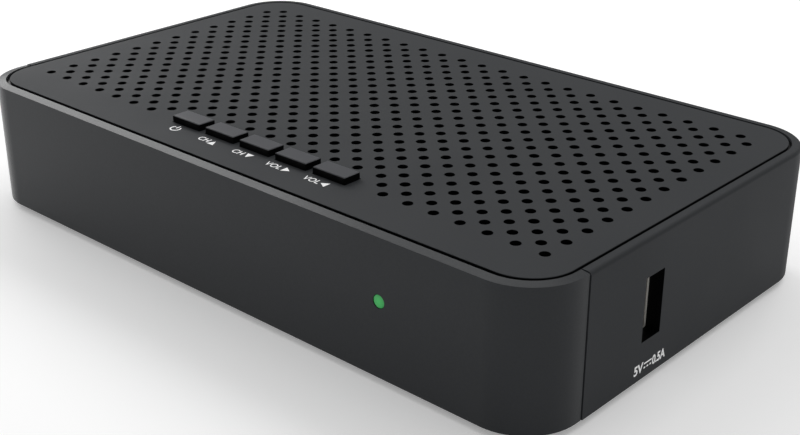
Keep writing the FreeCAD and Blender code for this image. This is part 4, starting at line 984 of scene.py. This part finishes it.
# ---- keys ----
# Five keys of smoother, slightly glossier ABS, each with a flange that holds it under the lid. Below each one
# stands the plunger of its switch.
KEYS = ("power", "channel_up", "channel_down", "volume_up", "volume_down")
KEY_EDGE = 0.07
PLUNGER_EDGE = 0.15
LIT_TOP_DEPTH = 0.15                 # how far down from a top face the lit finish reaches; below it is painted shade
AROUND = Vector((1, 1, 1))      # a margin round a piece


def shaded_but_top(piece, low, high):
    """Paints shade on all of a piece but its top: the rest takes the near-black painted-shade finish."""
    return painted_shade_between(piece, low - AROUND, high + AROUND - Vector((0, 0, AROUND.z + LIT_TOP_DEPTH)))


# A finer texture than the lid's: a touch paler, with a soft satin gloss.
key_abs = moulded("abs_satin_key", "#45464a", "#4a4b4f", roughness=0.3, specular=0.15, grain=0.3, depth=0.002,
                  cloud=9.0)
for key in KEYS:
    # Painted shade: each cap's sides take the near-black finish, and only its top keeps the satin ABS.
    cap = finished(key + "_cap", softened(key + "_key", KEY_EDGE), key_abs)
    fit(shaded_but_top(cap, *span(key + "_key")), "key_abs", key + "_key", body=key + "_button")
    dressed(key + "_switch_plunger", key + "_plunger", key_abs, "key_abs", PLUNGER_EDGE, body=key + "_button")

# ---- lid ----
# A plate of the same ABS, set in the rims with a narrow groove all round. Its 545 round vents stand in
# staggered rows that stop short of the keys, and each has a fine moulded flare. Six hooks snap under the
# ledge.
LID_THICK = 1.8
LID_EDGE = 0.14
EDGE_BEND = 0.3                 # share of the eased edge at its middle point
LID_CORNER_STEPS = 30
FLANGE_R = 10.3
GROOVE_LOW = Vector((0.5, 0.9, 0))      # width of the groove at the left and at the front
GROOVE_HIGH = Vector((0.6, 0.5, 0))     # width at the right and at the rear
GROOVE_DEPTH = 0.8
GROOVE_EASE = 0.06
VENT_R = 1.1
VENT_FLARE = 0.04
VENT_SIDES = 20
VENT_PITCH = (6.5, 6.47)
VENT_COLUMNS = 24
VENT_ROWS = 12
VENT_FIRST = 12.15              # flange's front edge to the first row
KEYS_ROOM = (4.75, 0.75)        # room for the keys, in pitches: half its width, and past the first row
KEY_WINDOW = (9.3, 4.7)
KEY_PITCH = 11.0
KEYS_ASIDE = 0.7                # how far right of the middle the row of keys stands
KEY_MIDDLE = 12.5               # flange's front edge to the middle of the keys
HOOK_X = 45.0
HOOK_INSET = 2.5
HOOK_WIDTH = 6.0
HOOK_SECTION = ((-1.2, -2.8), (0, -2.8), (0.9, -1.6), (0, -1.6), (0, 0.3), (-1.2, 0.3))
BOSS_X = 30.5
BOSS_OUTLINE = ((AXLE, 5.0), (1.0, 5.0), (1.0, 0), (2.5, 0), (2.5, 6.9), (AXLE, 6.9))   # with its pilot hole
BOSS_SIDES = 40
LID_CLEAR = 0.3                 # how far a cutter stands past the plate

vented, given = recipe("perforated lid", Under="Object", Vent_radius="Float", Vent_depth="Float",
                       Drop="Vector", Flare="Float", Columns="Int", Odd_columns="Int", Rows="Int",
                       Across="Float", Odd_across="Float", Along="Float", Middle="Vector",
                       Odd_middle="Vector", Keys_half_width="Float", Keys_back="Float", Window="Vector",
                       Windows="Int", First_window="Vector", Window_pitch="Vector")
under = add(vented, "GeometryNodeObjectInfo", {"Object": given["Under"]}).outputs["Geometry"]
solid = add(vented, "GeometryNodeMeshBoolean", {"Mesh 2": (given["Geometry"], under)}, operation="UNION",
            solver="EXACT")
punch = add(vented, "GeometryNodeMeshCylinder", {
    "Vertices": VENT_SIDES, "Side Segments": 2, "Radius": given["Vent radius"], "Depth": given["Vent depth"]})
top = punch.outputs["Top"]
lowered = add(vented, "GeometryNodeSetPosition", {"Geometry": punch, "Selection": top,
                                                  "Offset": given["Drop"]})
flared = add(vented, "GeometryNodeScaleElements", {"Geometry": lowered, "Selection": top,
                                                   "Scale": given["Flare"]})
grids = []
for columns, across, middle in (("Columns", "Across", "Middle"), ("Odd columns", "Odd across", "Odd middle")):
    grid = add(vented, "GeometryNodeMeshGrid", {"Size X": given[across], "Size Y": given["Along"],
                                                "Vertices X": given[columns], "Vertices Y": given["Rows"]})
    grids.append(add(vented, "GeometryNodeTransform", {"Geometry": grid, "Translation": given[middle]}))
lattice = add(vented, "GeometryNodeJoinGeometry", {"Geometry": tuple(grids)})
where = add(vented, "ShaderNodeSeparateXYZ", {0: add(vented, "GeometryNodeInputPosition")}).outputs
off_middle = add(vented, "ShaderNodeMath", {0: where["X"]}, operation="ABSOLUTE")
beside = add(vented, "FunctionNodeCompare", {0: off_middle, 1: given["Keys half width"]},
             operation="LESS_THAN")
before = add(vented, "FunctionNodeCompare", {0: where["Y"], 1: given["Keys back"]}, operation="LESS_THAN")
at_keys = add(vented, "FunctionNodeBooleanMath", {0: beside, 1: before}, operation="AND")
open_places = add(vented, "GeometryNodeDeleteGeometry", {"Geometry": lattice, "Selection": at_keys},
                  domain="POINT")
vents = add(vented, "GeometryNodeInstanceOnPoints", {"Points": open_places, "Instance": flared})
window = add(vented, "GeometryNodeMeshCube", {"Size": given["Window"]})
line = add(vented, "GeometryNodeMeshLine", {
    "Count": given["Windows"], "Start Location": given["First window"], "Offset": given["Window pitch"]})
windows = add(vented, "GeometryNodeInstanceOnPoints", {"Points": line, "Instance": window})
cutters = add(vented, "GeometryNodeJoinGeometry", {"Geometry": (vents, windows)})
tools = add(vented, "GeometryNodeRealizeInstances", {"Geometry": cutters})
served(vented, given, add(vented, "GeometryNodeMeshBoolean", {"Mesh 1": solid, "Mesh 2": tools},
                          operation="DIFFERENCE", solver="EXACT"))


def hook(x, y, outwards):
    """Snap hook under the lid, its barb outwards."""
    out = Vector(outwards)
    along = Vector((-out.y, out.x, 0)) * HOOK_WIDTH / 2
    foot = Vector((x, y, shelf_z))
    return stacked([[foot + out * reach + along * side + Vector((0, 0, rise)) for reach, rise in HOOK_SECTION]
                    for side in (-1, 1)])


low, high = span("top_plate")
middle = (low + high) / 2
shelf_z = high.z - LID_THICK
floor_z = high.z - GROOVE_DEPTH
loops = []
for in_groove, eased_by, z in ((0, 0, shelf_z), (0, 0, floor_z - GROOVE_EASE), (0, GROOVE_EASE, floor_z),
                               (1, 0, floor_z), (1, 0, high.z - LID_EDGE),
                               (1, LID_EDGE * EDGE_BEND, high.z - LID_EDGE * EDGE_BEND),
                               (1, LID_EDGE, high.z)):
    pull = Vector((eased_by, eased_by, 0))
    loops.append(rounded_rectangle(low + GROOVE_LOW * in_groove + pull, high - GROOVE_HIGH * in_groove - pull,
                                   FLANGE_R - GROOVE_HIGH.x * in_groove - eased_by, z, LID_CORNER_STEPS))
plate = stacked(loops)
hooks = [hook(side * HOOK_X, edge - out * HOOK_INSET, (0, out, 0)) for side in (-1, 1)
         for edge, out in ((high.y, 1), (low.y, -1))]
hooks += [hook(side * (high.x - HOOK_INSET), middle.y, (side, 0, 0)) for side in (-1, 1)]
key_y = low.y + KEY_MIDDLE
bosses = [turned(BOSS_OUTLINE, (KEYS_ASIDE + side * BOSS_X, key_y, low.z), sides=BOSS_SIDES)
          for side in (-1, 1)]
under = as_object("under", together(*hooks, *bosses))
pitch_x, pitch_y = VENT_PITCH
depth = 2 * (LID_THICK + LID_CLEAR)
first_y = low.y + VENT_FIRST
vent_y = first_y + (VENT_ROWS - 1) * pitch_y / 2
vent_z = high.z - VENT_FLARE
lid = grown(plate, vented, case_abs, Under=under, Vent_radius=VENT_R, Vent_depth=depth,
            Drop=(0.0, 0.0, 2 * VENT_FLARE - depth / 2), Flare=1 + 2 * VENT_FLARE / VENT_R,
            Columns=VENT_COLUMNS, Odd_columns=VENT_COLUMNS - 1, Rows=VENT_ROWS,
            Across=(VENT_COLUMNS - 1) * pitch_x, Odd_across=(VENT_COLUMNS - 2) * pitch_x,
            Along=(VENT_ROWS - 1) * pitch_y, Middle=(0.0, vent_y, vent_z),
            Odd_middle=(0.0, vent_y + pitch_y / 2, vent_z), Keys_half_width=KEYS_ROOM[0] * pitch_x,
            Keys_back=first_y + KEYS_ROOM[1] * pitch_y, Window=(*KEY_WINDOW, depth), Windows=len(KEYS),
            First_window=(KEYS_ASIDE - (len(KEYS) - 1) * KEY_PITCH / 2, key_y, high.z),
            Window_pitch=(KEY_PITCH, 0.0, 0.0))
bpy.data.objects.remove(under)
# Painted shade: the lid's vent walls, groove, sides and underside take the near-black finish; only its top
# keeps the casing's ABS.
fit(shaded_but_top(finished("perforated_lid", lid, case_abs), low, high), "casing_abs", "top_plate")

# ---- printed marks ----
# Plain function marks in white ink, screen printed on the lid in front of the keys, and the port's rating on
# the right side. The ink stands a little above the plastic.
INK = 0.02
INK_SINK = 0.01
INK_PAINTED_GLOW = 0.12                 # painted glow: the ink gives off a little light of its own, though it is no lamp
MARK_HEIGHT = 1.7
MARK_Y = -44.9                  # middle of the marks
POWER_X = -22.0
POWER_RING = (1.15, 0.33, 0.75)  # radius, line width, half of the gap at the top in radians
POWER_STEPS = 32
POWER_STROKE = 1.35
ARROW = (1.94, 1.05)            # side, and how far it is stretched along Y
MARKS = (("CH", -13.9, 3.15, 0.008, -9.4, 90, -0.5),    # word, its left end, width and weight, and its
         ("CH", -3.0, 3.1, 0.008, 1.6, -90, 0.27),      # triangle's place, direction and rise
         ("VOL", 7.15, 4.45, 0.004, 12.85, 0, 0.0),
         ("VOL", 18.3, 4.4, 0.004, 24.1, 180, 0.0))
RATING_HEIGHT = 2.1
RATING_WEIGHT = 0.03
RATING_Z = 4.2
RATING_Y = (-24.5, -13.7)       # where it starts and ends
RATING_WORDS = (("5V", 0.0, 0.29), ("0.5A", 0.58, 0.42))    # left end and width over the rating's length
STEADY_LINE = (0.31, 0.56, 0.3, 0.62)       # left and right over that length, lower and upper edge
STEADY_DASH = (0.05, 0.095, -0.6, -0.25)    # length and pitch over that length, lower and upper edge


def printed(points):
    """A flat closed patch of ink from its outline of (x, y)."""
    return stacked([[Vector((x, y, z)) for x, y in points] for z in (-INK_SINK, INK)])


def bar(x0, y0, x1, y1):
    """A bar of ink between two corners."""
    return printed([(x0, y0), (x1, y0), (x1, y1), (x0, y1)])


def lettering(words, left, width, height, bold):
    """Words in plain letters of ink, from left to right, centred on y = 0."""
    line = bpy.data.curves.new("words", "FONT")
    line.body = words
    line.extrude = INK
    line.offset = bold
    letters = bpy.data.objects.new("words", line)
    bpy.context.scene.collection.objects.link(letters)
    shape = as_built(letters)
    bmesh.ops.remove_doubles(shape, verts=shape.verts, dist=INK / 10)
    across = [vert.co.x for vert in shape.verts]
    up = [vert.co.y for vert in shape.verts]
    start, base = min(across), min(up)
    stretch = Vector((width / (max(across) - start), height / (max(up) - base)))
    for vert in shape.verts:
        vert.co = Vector((left + (vert.co.x - start) * stretch.x, (vert.co.y - base) * stretch.y - height / 2,
                          INK if vert.co.z > 0 else -INK_SINK))
    return shape


def arrow(x, y, points_to):
    """A solid triangle whose tip points along an angle in degrees."""
    side, stretch = ARROW
    radius = side / math.sqrt(3)
    angles = [math.radians(points_to + n * 120) for n in range(3)]
    return printed([(x + radius * math.cos(a), y + radius * stretch * math.sin(a)) for a in angles])


def power_sign(x):
    """An open ring with a stroke in its gap."""
    radius, width, gap = POWER_RING
    inner, outer = radius - width / 2, radius + width / 2
    loops = []
    for n in range(POWER_STEPS + 1):
        a = math.pi / 2 + gap + (2 * math.pi - 2 * gap) * n / POWER_STEPS
        loops.append([Vector((x + r * math.cos(a), r * math.sin(a), z)) for r, z in
                      ((inner, -INK_SINK), (outer, -INK_SINK), (outer, INK), (inner, INK))])
    top = radius + width
    return together(stacked(loops), bar(x - width / 2, top - POWER_STROKE, x + width / 2, top))


# Thick opaque ink is a clean, even white.
ink = moulded("white_screen_ink", "#f6f6f6", "#fbfbfb", roughness=0.5, specular=0.4, grain=0.25, depth=0.002,
              cloud=5.0)
# Painted glow: the white ink emits a little light so that it reads paler than it is lit.
inked = next(node for node in ink.node_tree.nodes if node.type == "BSDF_PRINCIPLED").inputs
inked["Emission Color"].default_value = linear("#ffffff")
inked["Emission Strength"].default_value = INK_PAINTED_GLOW
signs = [power_sign(POWER_X)]
for word, left, width, bold, x, points_to, rise in MARKS:
    signs += [lettering(word, left, width, MARK_HEIGHT, bold), arrow(x, rise, points_to)]
signs = together(*signs)
bmesh.ops.translate(signs, vec=(0, MARK_Y, span("top_plate")[1].z), verts=signs.verts)
fit(finished("function_marks", signs, ink), "header_nylon")

start, end = RATING_Y
length = end - start
left, right, lower, upper = STEADY_LINE
dash, dash_pitch, dash_lower, dash_upper = STEADY_DASH
volts, amps = [lettering(word, start + length * at, length * width, RATING_HEIGHT, RATING_WEIGHT)
               for word, at, width in RATING_WORDS]
steady = [(left, lower, right, upper)]
steady += [(left + n * dash_pitch, dash_lower, left + n * dash_pitch + dash, dash_upper) for n in range(3)]
bars = [bar(start + length * x0, y0, start + length * x1, y1) for x0, y0, x1, y1 in steady]
rating = together(volts, *bars, amps)
on_side = Matrix.Translation((span("rear_casing")[1].x, 0, RATING_Z)) @ STANDING.to_4x4()
bmesh.ops.transform(rating, matrix=on_side, verts=rating.verts)
fit(finished("port_rating", rating, ink), "header_nylon")

# ---- floor, lights and camera ----
# A sheet of matt white paper under soft lamps, in a white studio. The camera looks down at the front right
# corner.
FLOOR_HALF = 3000.0
PAPER_LIFT = 0.25               # how much paler the paper is to the eye than it is lit
STUDIO_LEVEL = 0.4
CAMERA_PLACE = Vector((198.47, -214.64, 135.92))
CAMERA_DOWN = 24.65             # degrees below level
CAMERA_ROUND = 42.28            # degrees anticlockwise from a view along +Y
SENSOR_WIDTH = 36.0
LENS = 60.37

# Paper is a flat, even white with no gloss, and holds a soft shadow.
paper, tree, _ = new_finish("matt_white_paper")
path = add(tree, "ShaderNodeLightPath").outputs
seen = add(tree, "ShaderNodeMath", {0: path["Is Camera Ray"], 1: path["Is Glossy Ray"]}, operation="MAXIMUM")
seen = add(tree, "ShaderNodeMath", {0: seen, 1: path["Is Transmission Ray"]}, operation="MAXIMUM")
lift = add(tree, "ShaderNodeMath", {0: seen, 1: PAPER_LIFT}, operation="MULTIPLY")
surface = add(tree, "ShaderNodeBsdfPrincipled", {
    "Base Color": linear("#fafafa"), "Roughness": 0.9, "Specular IOR Level": 0.1,
    "Emission Color": linear("#ffffff"), "Emission Strength": lift})
add(tree, "ShaderNodeOutputMaterial", {"Surface": surface})
sheet = bmesh.new()
bmesh.ops.create_grid(sheet, x_segments=1, y_segments=1, size=FLOOR_HALF)
finished("floor", sheet, paper)

world = bpy.data.worlds.new("studio")
world.use_nodes = True
world.node_tree.nodes["Background"].inputs["Color"].default_value = linear("#ffffff")
world.node_tree.nodes["Background"].inputs["Strength"].default_value = STUDIO_LEVEL
bpy.context.scene.world = world


def soft_box(name, azimuth, elevation, distance, size, watts):
    """A studio lamp that faces the object. Azimuth is anticlockwise from +X, in degrees."""
    data = bpy.data.lights.new(name, "AREA")
    data.shape = "RECTANGLE"
    data.size, data.size_y = size
    data.energy = watts
    lamp = bpy.data.objects.new(name, data)
    a, e = math.radians(azimuth), math.radians(elevation)
    away = Vector((math.cos(a) * math.cos(e), math.sin(a) * math.cos(e), math.sin(e)))
    lamp.location = away * distance
    lamp.rotation_euler = away.to_track_quat("Z", "Y").to_euler()
    bpy.context.scene.collection.objects.link(lamp)


soft_box("left", azimuth=172, elevation=30, distance=1.0, size=(0.8, 0.5), watts=4.3)
soft_box("left_rear", azimuth=135, elevation=45, distance=1.0, size=(0.5, 0.3), watts=0.7)
soft_box("rear", azimuth=80, elevation=50, distance=1.2, size=(0.8, 0.6), watts=3.8)

camera_data = bpy.data.cameras.new("camera")
camera_data.sensor_width = SENSOR_WIDTH
camera_data.lens = LENS
camera_data.clip_start = 0.01
camera = bpy.data.objects.new("camera", camera_data)
camera.location = CAMERA_PLACE * MM
camera.rotation_euler = (math.radians(90 - CAMERA_DOWN), 0, math.radians(CAMERA_ROUND))
bpy.context.scene.collection.objects.link(camera)
bpy.context.scene.camera = camera
bpy.context.scene.view_settings.view_transform = "Standard"
